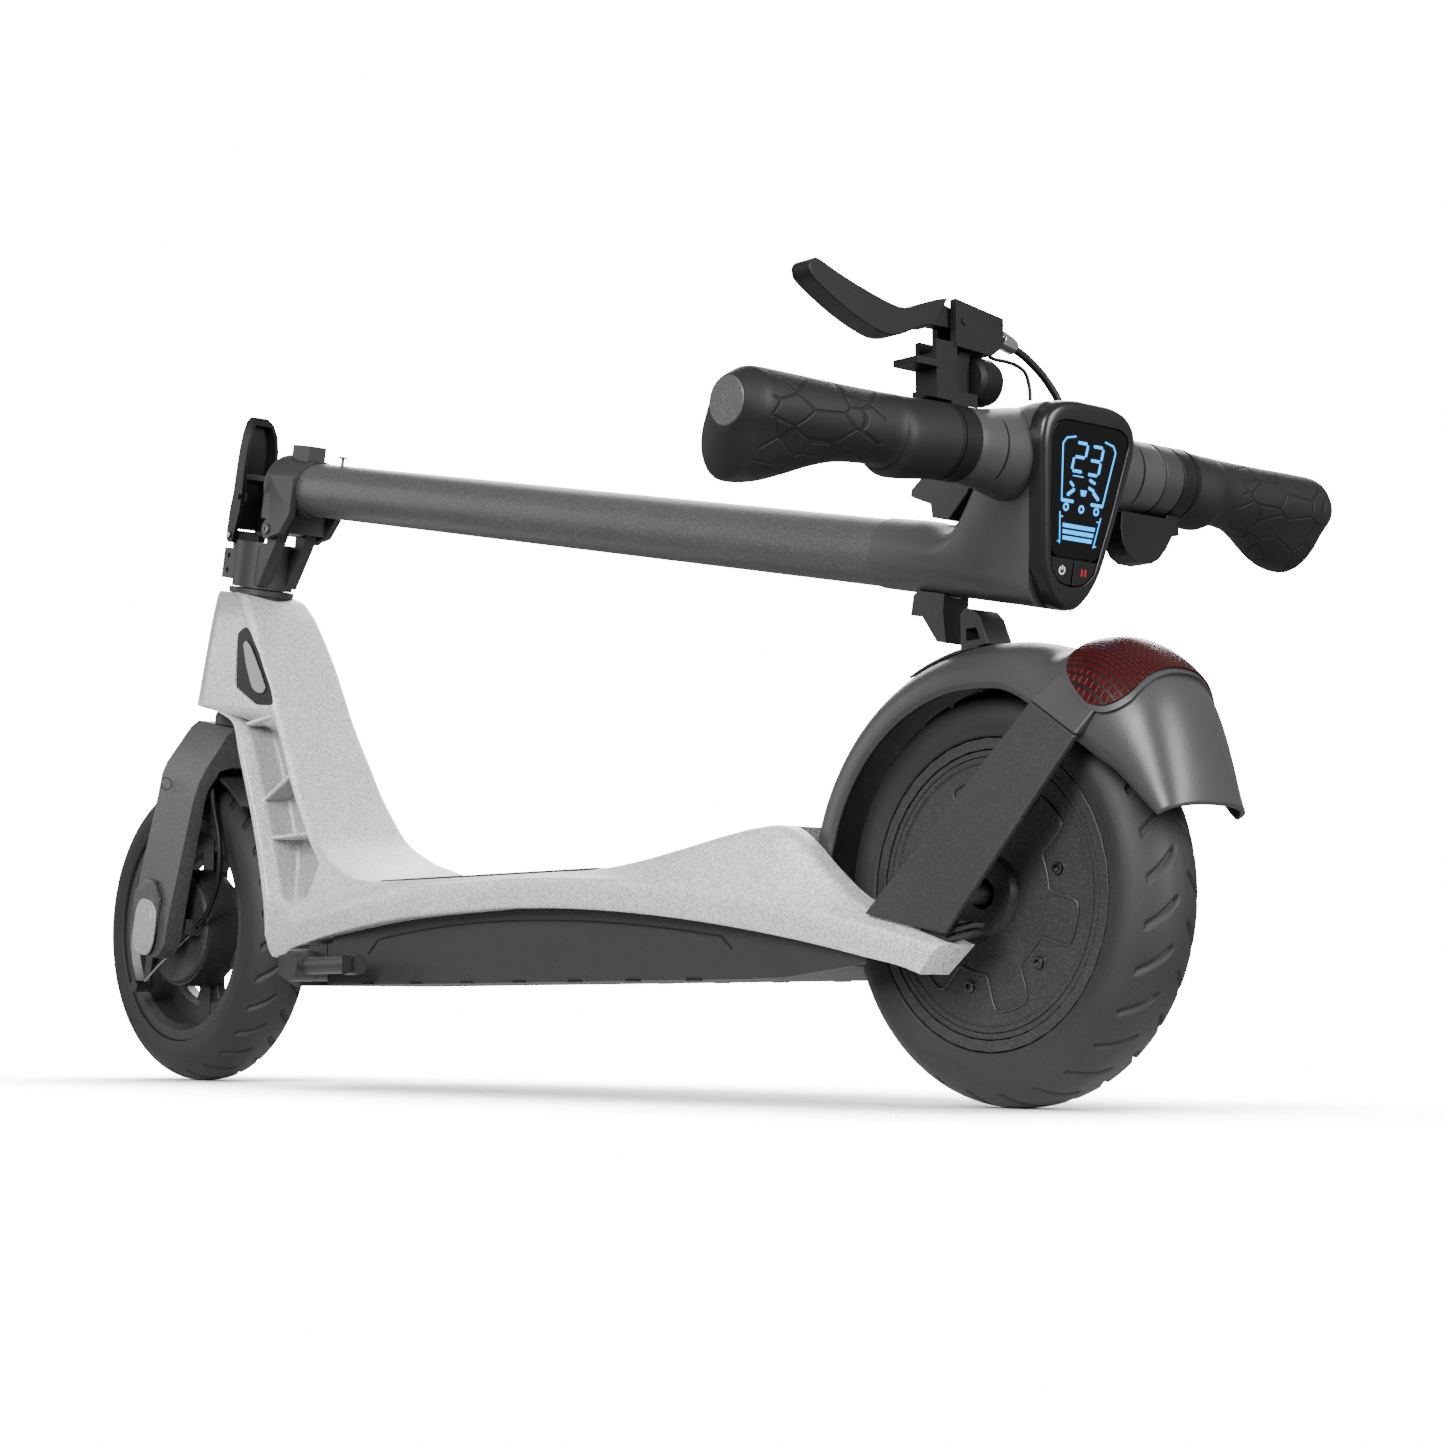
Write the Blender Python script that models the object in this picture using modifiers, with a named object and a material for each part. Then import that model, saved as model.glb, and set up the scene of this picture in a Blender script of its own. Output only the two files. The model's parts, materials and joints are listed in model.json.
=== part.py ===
"""Electric kick scooter, folded. Metres, +Z up, forward is -X, the rider's left is -Y.
The origin is on the ground, midway along the whole length. Needs only Blender 4.5."""

from math import asin, atan2, cos, pi, radians, sin, sqrt

import bmesh
import bpy
from mathutils import Matrix, Vector

# ---------------------------------------------------------------- driving dimensions
WHEEL_RADIUS = 0.125
WHEELBASE = 0.903
REAR_AXLE_X = 0.434
RAKE = radians(11.3)  # lean of the steering axis, and slope of the folded stem
FOLD_ANGLE = radians(90)
HEADSET_TOP = (REAR_AXLE_X - 0.8305, 0.0, 0.4005)
AXLE_TRAIL = (-0.0171, -0.2844)  # front axle from the headset's top, across and along the axis
PIVOT_BACK, PIVOT_UP = 0.036, 0.0492  # fold pin from the headset's top
STEM_RADIUS = 0.0213
BAR_FORWARD, BAR_UP = 0.1003, 0.8107  # handlebar's centre from the fold pin, stem upright
BAR_HALF = 0.258
DECK_TOP = 0.1495
MAT_HALF = 0.069
DECK_HALF = 0.083
TYRE_HALF = 0.0285
BEAD_RADIUS = 0.0928
RIM_LIP = 0.0922
WHEEL_SIDES = 36
FENDER_OUTER, FENDER_HALF = 0.150, 0.0415
GAP = 0.0004

GREY = (0.045, 0.046, 0.048)
BLACK = (0.018, 0.018, 0.019)
SILVER = (0.62, 0.63, 0.64)


# ---------------------------------------------------------------- scene helpers
def clear_scene():
    for obj in list(bpy.data.objects):
        bpy.data.objects.remove(obj, do_unlink=True)


def make_collection(name):
    collection = bpy.data.collections.new(name)
    bpy.context.scene.collection.children.link(collection)
    return collection


def empty(name, location, angle_y=0.0, parent=None):
    obj = bpy.data.objects.new(name, None)
    obj.location = location
    obj.rotation_euler = (0.0, angle_y, 0.0)
    obj.parent = parent
    SCOOTER.objects.link(obj)
    return obj


def material(name, colour, roughness, metallic=0.0):
    mat = bpy.data.materials.new(name)
    mat.use_nodes = True
    shader = mat.node_tree.nodes["Principled BSDF"]
    shader.inputs["Base Color"].default_value = (*colour, 1.0)
    shader.inputs["Roughness"].default_value = roughness
    shader.inputs["Metallic"].default_value = metallic
    return mat


def finish(obj, colour=None, roughness=0.5, metallic=0.0, parent=None, at=(0, 0, 0)):
    """Give a node its place, its frame and its own material."""
    obj.location = at
    obj.parent = parent
    if colour:
        obj.data.materials.append(material(obj.name, colour, roughness, metallic))
    obj.data.shade_smooth()
    obj.data.set_sharp_from_angle(angle=radians(35))
    return obj


def mesh_object(name, bm, cutter=False):
    bmesh.ops.recalc_face_normals(bm, faces=bm.faces)
    mesh = bpy.data.meshes.new(name)
    bm.to_mesh(mesh)
    bm.free()
    obj = bpy.data.objects.new(name, mesh)
    (CUTTERS if cutter else SCOOTER).objects.link(obj)
    if cutter:
        obj.hide_render = True
        obj.display_type = "WIRE"
    return obj


# ---------------------------------------------------------------- shapes
def box(name, low, high, cutter=False, bevel=0.0):
    bm = bmesh.new()
    size = [h - l for l, h in zip(low, high)]
    centre = [(h + l) / 2 for l, h in zip(low, high)]
    place = Matrix.Translation(centre) @ Matrix.Diagonal((*size, 1.0))
    bmesh.ops.create_cube(bm, size=1.0, matrix=place)
    if bevel:
        bmesh.ops.bevel(bm, geom=bm.edges[:], offset=bevel, segments=2, affect="EDGES", profile=0.5)
    return mesh_object(name, bm, cutter)


def rod(name, start, end, radius, sides=24, cutter=False, end_radius=None):
    """A cylinder or cone from start to end."""
    start, end = Vector(start), Vector(end)
    along = end - start
    place = Matrix.Translation((start + end) / 2) @ along.to_track_quat("Z", "Y").to_matrix().to_4x4()
    bm = bmesh.new()
    bmesh.ops.create_cone(
        bm, cap_ends=True, segments=sides, radius1=radius,
        radius2=radius if end_radius is None else end_radius, depth=along.length, matrix=place)
    return mesh_object(name, bm, cutter)


def plate(name, outline, low, high, axis="Y", cutter=False):
    """A flat outline with thickness, along Y (outline in X, Z), X (in Y, Z) or Z (in X, Y)."""
    curve = bpy.data.curves.new(name, "CURVE")
    curve.dimensions = "2D"
    curve.fill_mode = "BOTH"
    curve.extrude = (high - low) / 2
    spline = curve.splines.new("POLY")
    spline.points.add(len(outline) - 1)
    for point, (u, v) in zip(spline.points, outline):
        point.co = (u, v, 0.0, 1.0)
    spline.use_cyclic_u = True
    guide = bpy.data.objects.new(name, curve)
    middle = (high + low) / 2
    guide.matrix_world = {
        "Y": Matrix(((1, 0, 0, 0), (0, 0, 1, middle), (0, 1, 0, 0), (0, 0, 0, 1))),
        "X": Matrix(((0, 0, 1, middle), (1, 0, 0, 0), (0, 1, 0, 0), (0, 0, 0, 1))),
        "Z": Matrix.Translation((0, 0, middle)),
    }[axis]
    return curve_to_mesh(guide, cutter)


def curve_to_mesh(guide, cutter=False):
    """A curve object as a welded mesh object of the same name."""
    SCOOTER.objects.link(guide)
    name, place = guide.name, guide.matrix_world.copy()
    graph = bpy.context.evaluated_depsgraph_get()
    mesh = bpy.data.meshes.new_from_object(guide.evaluated_get(graph))
    data = guide.data
    bpy.data.objects.remove(guide)
    bpy.data.curves.remove(data)
    bm = bmesh.new()
    bm.from_mesh(mesh)
    bpy.data.meshes.remove(mesh)
    bmesh.ops.remove_doubles(bm, verts=bm.verts, dist=1e-6)
    bmesh.ops.transform(bm, matrix=place, verts=bm.verts)
    return mesh_object(name, bm, cutter)


def tube(name, points, radius, sides=2):
    """A round wire or cable through the given points."""
    curve = bpy.data.curves.new(name, "CURVE")
    curve.dimensions = "3D"
    curve.bevel_depth = radius
    curve.bevel_resolution = sides
    curve.use_fill_caps = True
    spline = curve.splines.new("POLY")
    spline.points.add(len(points) - 1)
    for point, co in zip(spline.points, points):
        point.co = (*co, 1.0)
    return curve_to_mesh(bpy.data.objects.new(name, curve))


def smooth_route(knots, count):
    """Points along a Catmull-Rom curve through the knots."""
    knots = [Vector(k) for k in knots]
    ends = [2 * knots[0] - knots[1], *knots, 2 * knots[-1] - knots[-2]]
    points = []
    for i in range(count + 1):
        t = i / count * (len(knots) - 1)
        k = min(int(t), len(knots) - 2)
        t -= k
        a, b, c, d = ends[k:k + 4]
        points.append(0.5 * ((2 * b) + (c - a) * t + (2 * a - 5 * b + 4 * c - d) * t * t
                             + (3 * b - a - 3 * c + d) * t ** 3))
    return points


def turned(name, profile, steps=48, closed=True, cutter=False):
    """A profile of (radius, height) turned about Y; height runs to the rider's left, -Y.
    An open profile starts and ends on the axis."""
    bm = bmesh.new()
    verts = [bm.verts.new((r, 0.0, z)) for r, z in profile]
    for a, b in zip(verts, verts[1:] + verts[:1] if closed else verts[1:]):
        bm.edges.new((a, b))
    mesh = bpy.data.meshes.new(name)
    bm.to_mesh(mesh)
    bm.free()
    guide = bpy.data.objects.new(name, mesh)
    SCOOTER.objects.link(guide)
    screw = guide.modifiers.new("turn", "SCREW")
    screw.axis = "Z"
    screw.steps = screw.render_steps = steps
    screw.use_merge_vertices = True
    screw.merge_threshold = 1e-6
    graph = bpy.context.evaluated_depsgraph_get()
    made = bpy.data.meshes.new_from_object(guide.evaluated_get(graph))
    bpy.data.objects.remove(guide)
    bm = bmesh.new()
    bm.from_mesh(made)
    bpy.data.meshes.remove(made)
    bmesh.ops.remove_doubles(bm, verts=bm.verts, dist=1e-6)
    bmesh.ops.transform(bm, matrix=Matrix.Rotation(radians(90), 4, "X"), verts=bm.verts)
    return mesh_object(name, bm, cutter)


def loft(name, rings, cutter=False):
    """A closed solid through rings of points, all with the same count."""
    bm = bmesh.new()
    rows = [[bm.verts.new(p) for p in ring] for ring in rings]
    count = len(rings[0])
    for low, high in zip(rows, rows[1:]):
        for i in range(count):
            j = (i + 1) % count
            bm.faces.new((low[i], low[j], high[j], high[i]))
    bm.faces.new(rows[0][::-1])
    bm.faces.new(rows[-1])
    return mesh_object(name, bm, cutter)


def sheet(name, rows, thickness):
    """An open grid of points thickened inwards."""
    bm = bmesh.new()
    grid = [[bm.verts.new(p) for p in row] for row in rows]
    for low, high in zip(grid, grid[1:]):
        for i in range(len(low) - 1):
            bm.faces.new((low[i], low[i + 1], high[i + 1], high[i]))
    mesh = bpy.data.meshes.new(name)
    bm.to_mesh(mesh)
    bm.free()
    obj = bpy.data.objects.new(name, mesh)
    SCOOTER.objects.link(obj)
    solid = obj.modifiers.new("wall", "SOLIDIFY")
    solid.thickness = thickness
    solid.offset = -1.0
    return obj


def boolean(obj, other, operation):
    mod = obj.modifiers.new(operation.lower(), "BOOLEAN")
    mod.operation = operation
    mod.object = other
    other.hide_render = True
    other.display_type = "WIRE"
    for collection in list(other.users_collection):
        collection.objects.unlink(other)
    CUTTERS.objects.link(other)
    return obj


def cut(obj, *others):
    for other in others:
        boolean(obj, other, "DIFFERENCE")
    return obj


def join(obj, *others):
    for other in others:
        boolean(obj, other, "UNION")
    return obj


def carry(*helpers, parent):
    """Cutters and joined shapes take their piece's frame."""
    for helper in helpers:
        helper.parent = parent


def bake(obj):
    """Turn a piece's modifiers into plain mesh, so that its helpers can be placed with it."""
    bpy.context.view_layer.update()
    graph = bpy.context.evaluated_depsgraph_get()
    mesh = bpy.data.meshes.new_from_object(obj.evaluated_get(graph))
    obj.modifiers.clear()
    obj.data = mesh
    return obj


# ---------------------------------------------------------------- frame: neck and deck
def deck_crease(x):
    return 0.1455 - (x - 0.034) ** 2 / 3.2


def rail_bottom(x):
    bend = 3.3 if x > 0.024 else 2.42
    return 0.1260 - (x - 0.024) ** 2 / bend


def neck_section(top, bottom, top_half, bottom_half, web):
    """An I-shaped ring: rear flange, web and front flange, between two points in X and Z."""
    top, bottom = Vector(top), Vector(bottom)
    length = (bottom - top).length
    along = (bottom - top) / length
    edge = 0.003
    rear, front, slope = 0.0075, 0.010, 0.006
    half = [
        (top_half - edge, 0.0), (top_half, edge), (top_half, rear), (web, rear + slope),
        (web, length - front - slope), (bottom_half, length - front),
        (bottom_half, length - edge), (bottom_half - edge, length)]
    return ring_of(half, top, along)


def deck_section(top, bottom, top_half, crease_half, crease, bottom_half):
    """A slab ring: flat top, sloping shoulder down to the crease, upright rail face."""
    top, bottom = Vector(top), Vector(bottom)
    length = (bottom - top).length
    along = (bottom - top) / length
    shoulder = crease_half - top_half
    half = [
        (top_half, 0.0), (top_half + 0.25 * shoulder, 0.30 * crease),
        (top_half + 0.62 * shoulder, 0.72 * crease), (crease_half, crease),
        (crease_half + 0.0005, crease + 0.3 * (length - crease)),
        (bottom_half + 0.001, length - 0.003), (bottom_half - 0.001, length),
        (bottom_half - 0.012, length)]
    return ring_of(half, top, along)


def ring_of(half, top, along):
    ring = []
    for side, points in ((-1, half), (1, half[::-1])):
        for y, depth in points:
            at = top + along * depth
            ring.append((at.x, side * y, at.y))
    return ring


def frame_rings():
    rings = [
        neck_section((-0.3720, 0.3895), (-0.4271, 0.4005), 0.0304, 0.024, 0.0300),
        neck_section((-0.3570, 0.3660), (-0.4320, 0.3740), 0.0330, 0.027, 0.0325),
        neck_section((-0.3385, 0.3346), (-0.4376, 0.3450), 0.0355, 0.029, 0.0350),
        neck_section((-0.3240, 0.3080), (-0.4430, 0.3210), 0.0360, 0.030, 0.0355),
        neck_section((-0.3114, 0.2842), (-0.4466, 0.3029), 0.0362, 0.032, 0.0350),
        neck_section((-0.3020, 0.2680), (-0.3878, 0.2911), 0.0370, 0.036, 0.0330),
        neck_section((-0.2960, 0.2580), (-0.3731, 0.2810), 0.0378, 0.040, 0.0130),
        neck_section((-0.2880, 0.2443), (-0.3640, 0.2620), 0.0390, 0.042, 0.0110),
        neck_section((-0.2780, 0.2272), (-0.3540, 0.2360), 0.0402, 0.042, 0.0110),
        neck_section((-0.2640, 0.2080), (-0.3440, 0.2100), 0.0420, 0.042, 0.0110),
        neck_section((-0.2451, 0.1858), (-0.3330, 0.1760), 0.0451, 0.042, 0.0120),
        neck_section((-0.2200, 0.1700), (-0.3225, 0.1400), 0.0530, 0.043, 0.0200),
    ]
    slanted = [
        # top, bottom, half widths of the top, the crease and the bottom, depth of the crease
        ((-0.190, 0.1600), (-0.3145, 0.1150), 0.061, 0.0560, 0.045, 0.060),
        ((-0.165, 0.1540), (-0.3000, 0.0985), 0.066, 0.0640, 0.047, 0.055),
        ((-0.140, 0.1510), (-0.2620, 0.1025), 0.069, 0.0725, 0.057, 0.040),
        ((-0.110, 0.1500), (-0.2150, 0.1080), 0.069, 0.0785, 0.068, 0.028),
        ((-0.075, 0.1497), (-0.1500, 0.1155), 0.069, 0.0812, 0.076, 0.018),
        ((-0.030, 0.1495), (-0.0750, 0.1222), 0.069, 0.0825, 0.0795, 0.010),
    ]
    for top, bottom, top_half, crease_half, bottom_half, crease in slanted:
        rings.append(deck_section(top, bottom, top_half, crease_half, crease, bottom_half))
    upright = [
        # x, top, half width of the top, of the crease
        (0.034, 0.1495, 0.069, 0.0830), (0.080, 0.1495, 0.069, 0.0830),
        (0.120, 0.1497, 0.068, 0.0828), (0.160, 0.1535, 0.066, 0.0825),
        (0.200, 0.1600, 0.064, 0.0820), (0.240, 0.1670, 0.063, 0.0810),
        (0.270, 0.1710, 0.062, 0.0800), (0.292, 0.1705, 0.061, 0.0790),
        (0.310, 0.1600, 0.060, 0.0780), (0.330, 0.1430, 0.060, 0.0770),
        (0.352, 0.1270, 0.061, 0.0760), (0.375, 0.1165, 0.063, 0.0750),
    ]
    for x, top, top_half, crease_half in upright:
        crease = top - deck_crease(x)
        rings.append(deck_section((x, top), (x, rail_bottom(x)), top_half, crease_half, crease,
                                  crease_half - 0.003))
    rings.append(deck_section((0.4100, 0.1055), (0.4020, 0.0835), 0.066, 0.0742, 0.005, 0.0715))
    rings.append(deck_section((0.4410, 0.0950), (0.4200, 0.0780), 0.068, 0.0735, 0.002, 0.0705))
    return rings


def steering_point(across, along, y=0.0):
    """A point given across and along the steering axis, as world coordinates."""
    x = HEADSET_TOP[0] + across * cos(RAKE) + along * sin(RAKE)
    z = HEADSET_TOP[2] - across * sin(RAKE) + along * cos(RAKE)
    return (x, y, z)


INSERT_OUTLINE = [
    (-0.3800, 0.3600), (-0.3690, 0.3640), (-0.3600, 0.3600), (-0.3440, 0.3400),
    (-0.3270, 0.3110), (-0.3200, 0.2960), (-0.3500, 0.2990), (-0.3810, 0.3160)]


def shrink(outline, amount):
    """The outline moved inwards, towards its middle."""
    cx = sum(p[0] for p in outline) / len(outline)
    cz = sum(p[1] for p in outline) / len(outline)
    small = []
    for x, z in outline:
        away = sqrt((x - cx) ** 2 + (z - cz) ** 2)
        small.append((x + (cx - x) / away * amount, z + (cz - z) / away * amount))
    return small


def main_frame():
    frame = loft("main_frame", frame_rings())
    cut(
        frame,
        rod("steerer_bore", steering_point(0, -0.14), steering_point(0, 0.02), 0.0195, 32, True),
        rod("upper_seat", steering_point(0, -0.0145), steering_point(0, 0.02), 0.0240, 32, True),
        rod("lower_seat", steering_point(0, -0.14), steering_point(0, -0.0975), 0.0240, 32, True),
        box("battery_bay", (-0.195, -0.0665, 0.02), (0.268, 0.0665, 0.1425), True),
        box("mat_recess", (-0.130, -0.0665, DECK_TOP - 0.0022), (0.118, 0.0665, 0.22), True),
        rod("wheel_well", (REAR_AXLE_X, -0.0452, WHEEL_RADIUS), (REAR_AXLE_X, 0.0452, WHEEL_RADIUS),
            0.1540, 64, True),
        box("tail_gap", (REAR_AXLE_X - 0.06, -0.0452, 0.0), (0.6, 0.0452, 0.16), True))
    for side in (-1, 1):
        edges = sorted((side * 0.0275, side * 0.06))
        cut(frame, plate(f"insert_pocket_{side}", INSERT_OUTLINE, *edges, cutter=True))
        shelf = box(f"rib_low_{side}", (-0.3420, *sorted((side * 0.009, side * 0.036))[:1], 0.1905),
                    (-0.2600, sorted((side * 0.009, side * 0.036))[1], 0.1945))
        brace = plate(f"rib_slanted_{side}", [
            (-0.3500, 0.2230), (-0.3460, 0.2200), (-0.2850, 0.2420), (-0.2870, 0.2460)],
            *sorted((side * 0.009, side * 0.034)))
        join(frame, shelf, brace)
    return finish(frame, SILVER, 0.55, 0.6)


def neck_inserts():
    for side, name in ((-1, "neck_insert_left"), (1, "neck_insert_right")):
        edges = sorted((side * 0.0280, side * 0.0325))
        finish(plate(name, shrink(INSERT_OUTLINE, 0.0006), *edges), GREY, 0.5)


def deck_mat():
    mat = box("deck_mat", (-0.1293, -0.0658, DECK_TOP - 0.0018), (0.1173, 0.0658, DECK_TOP + 0.0016),
              bevel=0.0008)
    finish(mat, BLACK, 0.8)


def battery_tray():
    outline = [
        (-0.262, 0.0850), (-0.262, 0.0985), (-0.2000, 0.1060), (-0.1885, 0.1072),
        (-0.1885, 0.1280), (0.2620, 0.1280), (0.2620, 0.1045), (0.2880, 0.0995),
        (0.2880, 0.0850), (0.2720, 0.0765), (-0.2400, 0.0755)]
    tray = plate("battery_tray", outline, -0.0655, 0.0655)
    inside = [(-0.1855, 0.0785), (0.2590, 0.0785), (0.2590, 0.2), (-0.1855, 0.2)]
    cut(tray, plate("tray_inside", inside, -0.0625, 0.0625, cutter=True),
        box("stand_notch", (-0.2310, -0.08, 0.06), (-0.1950, -0.0440, 0.1060), True))
    finish(tray, GREY, 0.5)


def electrics():
    pack = box("battery_pack", (-0.165, -0.050, 0.0795), (0.130, 0.050, 0.1340), bevel=0.004)
    finish(pack, (0.03, 0.10, 0.25), 0.5)
    finish(box("controller_box", (0.150, -0.042, 0.0795), (0.245, 0.042, 0.1180), bevel=0.002),
           SILVER, 0.4, 0.8)


# ---------------------------------------------------------------- rear end
def wheel_point(radius, angle):
    return (REAR_AXLE_X + radius * cos(angle), WHEEL_RADIUS + radius * sin(angle))


def fender_stations():
    """Crown point, edge point and half width from the front end over the wheel to the tail."""
    stations = []
    for degrees in (182, 168, 154, 140, 126, 112, 98, 84, 75):
        angle = radians(degrees)
        skirt = 0.120 if degrees < 170 else 0.126
        stations.append((wheel_point(FENDER_OUTER, angle), wheel_point(skirt, angle), FENDER_HALF))
    stations += [
        ((0.4870, 0.2640), (0.4850, 0.2305), 0.0425), ((0.5030, 0.2660), (0.4990, 0.2220), 0.0435),
        ((0.5230, 0.2665), (0.5150, 0.2115), 0.0440), ((0.5390, 0.2610), (0.5250, 0.2045), 0.0440),
        ((0.5560, 0.2500), (0.5350, 0.1975), 0.0430), ((0.5690, 0.2370), (0.5455, 0.1905), 0.0415),
        ((0.5790, 0.2180), (0.5580, 0.1825), 0.0395), ((0.5855, 0.1960), (0.5690, 0.1760), 0.0375),
        ((0.5910, 0.1760), (0.5790, 0.1700), 0.0355), ((0.5939, 0.1662), (0.5850, 0.1662), 0.0350)]
    return stations


def arch(crown, edge, half, phi, lift=0.0):
    """A point of the fender's arch; phi runs from -90 to 90 degrees across it."""
    crown, edge = Vector(crown), Vector(edge)
    down = edge - crown
    depth = 1.0 - abs(cos(phi)) ** 0.75
    at = crown + down * depth - down.normalized() * lift * cos(phi)
    return (at.x, (half + lift * abs(sin(phi))) * (1 if phi > 0 else -1) * abs(sin(phi)) ** 0.85, at.y)


def rear_fender():
    columns = 11
    rows = []
    for crown, edge, half in fender_stations():
        rows.append([arch(crown, edge, half, radians(90 - 180 * i / (columns - 1)))
                     for i in range(columns)])
    fender = sheet("rear_fender", rows, 0.0026)
    finish(fender, GREY, 0.42)


def tail_light():
    """A lens wrapped over the fender's pod, longest at the crown."""
    stations = fender_stations()[9:15]
    rows = []
    columns = 11
    for i in range(columns):
        share = -1 + 2 * i / (columns - 1)
        phi = radians(66) * share
        reach = 1.0 - 0.75 * max(0.0, abs(share) - 0.35) ** 2 / 0.4225
        row = []
        for k in range(6):
            t = (0.5 + (k / 5 - 0.5) * reach) * (len(stations) - 1)
            low = min(int(t), len(stations) - 2)
            mix = t - low
            pair = [Vector(arch(*stations[low + n], phi, 0.0046)) for n in (0, 1)]
            row.append(pair[0].lerp(pair[1], mix))
        rows.append(row)
    lens = sheet("tail_light", rows, 0.0028)
    finish(lens, (0.25, 0.01, 0.01), 0.25)


def fender_stays():
    outer = [(0.3761, 0.0715, 0.1095), (0.4412, 0.0715, 0.0965), (0.5233, 0.0500, 0.2060),
             (0.4891, 0.0490, 0.2285)]
    for side, name in ((-1, "fender_stay_left"), (1, "fender_stay_right")):
        bm = bmesh.new()
        bmesh.ops.create_cube(bm, size=1.0)
        for vert in bm.verts:
            corner = {(-1, -1): 0, (1, -1): 1, (1, 1): 2, (-1, 1): 3}[
                (1 if vert.co.x > 0 else -1, 1 if vert.co.z > 0 else -1)]
            x, y, z = outer[corner]
            inward = 0.0045 if vert.co.y < 0 else 0.0
            vert.co = (x, side * (y - inward), z + 0.0045)
        stay = mesh_object(name, bm)
        cut(stay, rod(f"{name}_hole", (REAR_AXLE_X, side * 0.04, WHEEL_RADIUS),
                      (REAR_AXLE_X, side * 0.09, WHEEL_RADIUS), 0.0066, 20, True))
        finish(stay, GREY, 0.5)


def fender_catch():
    """Bracket on the fender's crown that the stem's hook drops in front of."""
    outline = [(0.3990, 0.2735), (0.3990, 0.2960), (0.4030, 0.2990), (0.4100, 0.2975),
               (0.4150, 0.2925), (0.4215, 0.2770), (0.4215, 0.2755)]
    post = plate("fender_catch", outline, -0.011, 0.011)
    cut(post,
        plate("catch_window", [(0.4035, 0.2790), (0.4150, 0.2790), (0.4120, 0.2860), (0.4035, 0.2860)],
              -0.02, 0.02, cutter=True),
        rod("catch_seat", (REAR_AXLE_X, -0.03, WHEEL_RADIUS), (REAR_AXLE_X, 0.03, WHEEL_RADIUS),
            FENDER_OUTER + GAP, 96, True))
    finish(post, GREY, 0.45)


def tyre(name, parent=None, at=(0, 0, 0)):
    """Tubeless tyre with a seat for the rim's lips."""
    half = [(WHEEL_RADIUS, 0.0), (0.1235, 0.0120), (0.1180, 0.0215), (0.1105, 0.0270), (0.1035, TYRE_HALF),
            (BEAD_RADIUS, 0.0268), (BEAD_RADIUS, 0.0202), (0.0870, 0.0196)]
    profile = half[::-1] + [(r, -h) for r, h in half[1:]]
    finish(turned(name, profile, WHEEL_SIDES), BLACK, 0.75, parent=parent, at=at)


def rear_wheel(parent):
    tyre("rear_tyre", parent)
    cup = [(0.0785, 0.0196), (0.0855, 0.0196), (0.0855, 0.0262), (RIM_LIP, 0.0262), (RIM_LIP, 0.0208),
           (0.0866, 0.0201), (0.0866, -0.0201), (RIM_LIP, -0.0208), (RIM_LIP, -0.0262), (0.0300, -0.0266),
           (0.0220, -0.0310), (0.0090, -0.0310), (0.0090, -0.0205), (0.0785, -0.0205)]
    finish(turned("motor_shell", cup, WHEEL_SIDES), GREY, 0.45, 0.4, parent)
    cover = turned("motor_cover", [(0.0090, 0.0200), (0.0850, 0.0200), (0.0850, 0.0252), (0.0300, 0.0266),
                                   (0.0220, 0.0310), (0.0090, 0.0310)], WHEEL_SIDES)
    finish(cover, GREY, 0.45, 0.4, parent)


def rear_axle_and_stator():
    at = (REAR_AXLE_X, 0.0, WHEEL_RADIUS)
    axle = rod("rear_axle", (0, -0.0625, 0), (0, 0.0625, 0), 0.0060, 20)
    finish(axle, SILVER, 0.35, 0.9, at=at)
    ring = [(0.0066, 0.017), (0.0740, 0.017), (0.0740, -0.017), (0.0066, -0.017)]
    finish(turned("motor_stator", ring, 40), (0.45, 0.2, 0.08), 0.4, 0.7, at=at)


# ---------------------------------------------------------------- kickstand
STAND_PIVOT = (-0.2135, -0.0760, 0.0900)
STAND_AXIS = Vector((-0.139, -0.990, 0.0)).normalized()


def kickstand():
    pivot = Vector(STAND_PIVOT)
    inner = pivot - STAND_AXIS * 0.0285
    seam = pivot - STAND_AXIS * 0.0094
    barrel = rod("kickstand_bracket", inner, seam, 0.0112, 28)
    foot = box("bracket_foot", (inner.x - 0.012, -0.0650, 0.0920), (inner.x + 0.012, -0.0455, 0.1050))
    join(barrel, foot)
    finish(barrel, GREY, 0.5)
    hub = rod("kickstand_leg", -STAND_AXIS * 0.0088, STAND_AXIS * 0.0100, 0.0115, 28)
    rear = STAND_AXIS.cross(Vector((0, 0, 1))) * -1
    leg = rod("leg_rod", rear * 0.004, rear * 0.079, 0.0064, 20)
    shoe = rod("leg_shoe", rear * 0.074, rear * 0.0930, 0.0074, 20)
    join(hub, leg, shoe)
    for part in (leg, shoe):
        part.location = STAND_PIVOT
    finish(hub, GREY, 0.5, at=STAND_PIVOT)


# ---------------------------------------------------------------- steering: headset, fork, block
def headset():
    upper = [(0.0174, -0.0140), (0.0236, -0.0140), (0.0236, -0.0055), (0.0262, -0.0050),
             (0.0262, -0.0006), (0.0174, -0.0006)]
    lower = [(0.0174, -0.1135), (0.0245, -0.1135), (0.0245, -0.1062), (0.0236, -0.1058),
             (0.0236, -0.0980), (0.0174, -0.0980)]
    for name, profile in (("headset_upper", upper), ("headset_lower", lower)):
        cup = turned(name, [(r, h) for r, h in profile[::-1]], 32)
        cup.data.transform(Matrix.Rotation(radians(-90), 4, "X"))
        finish(cup, GREY, 0.4, parent=STEERED)


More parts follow.
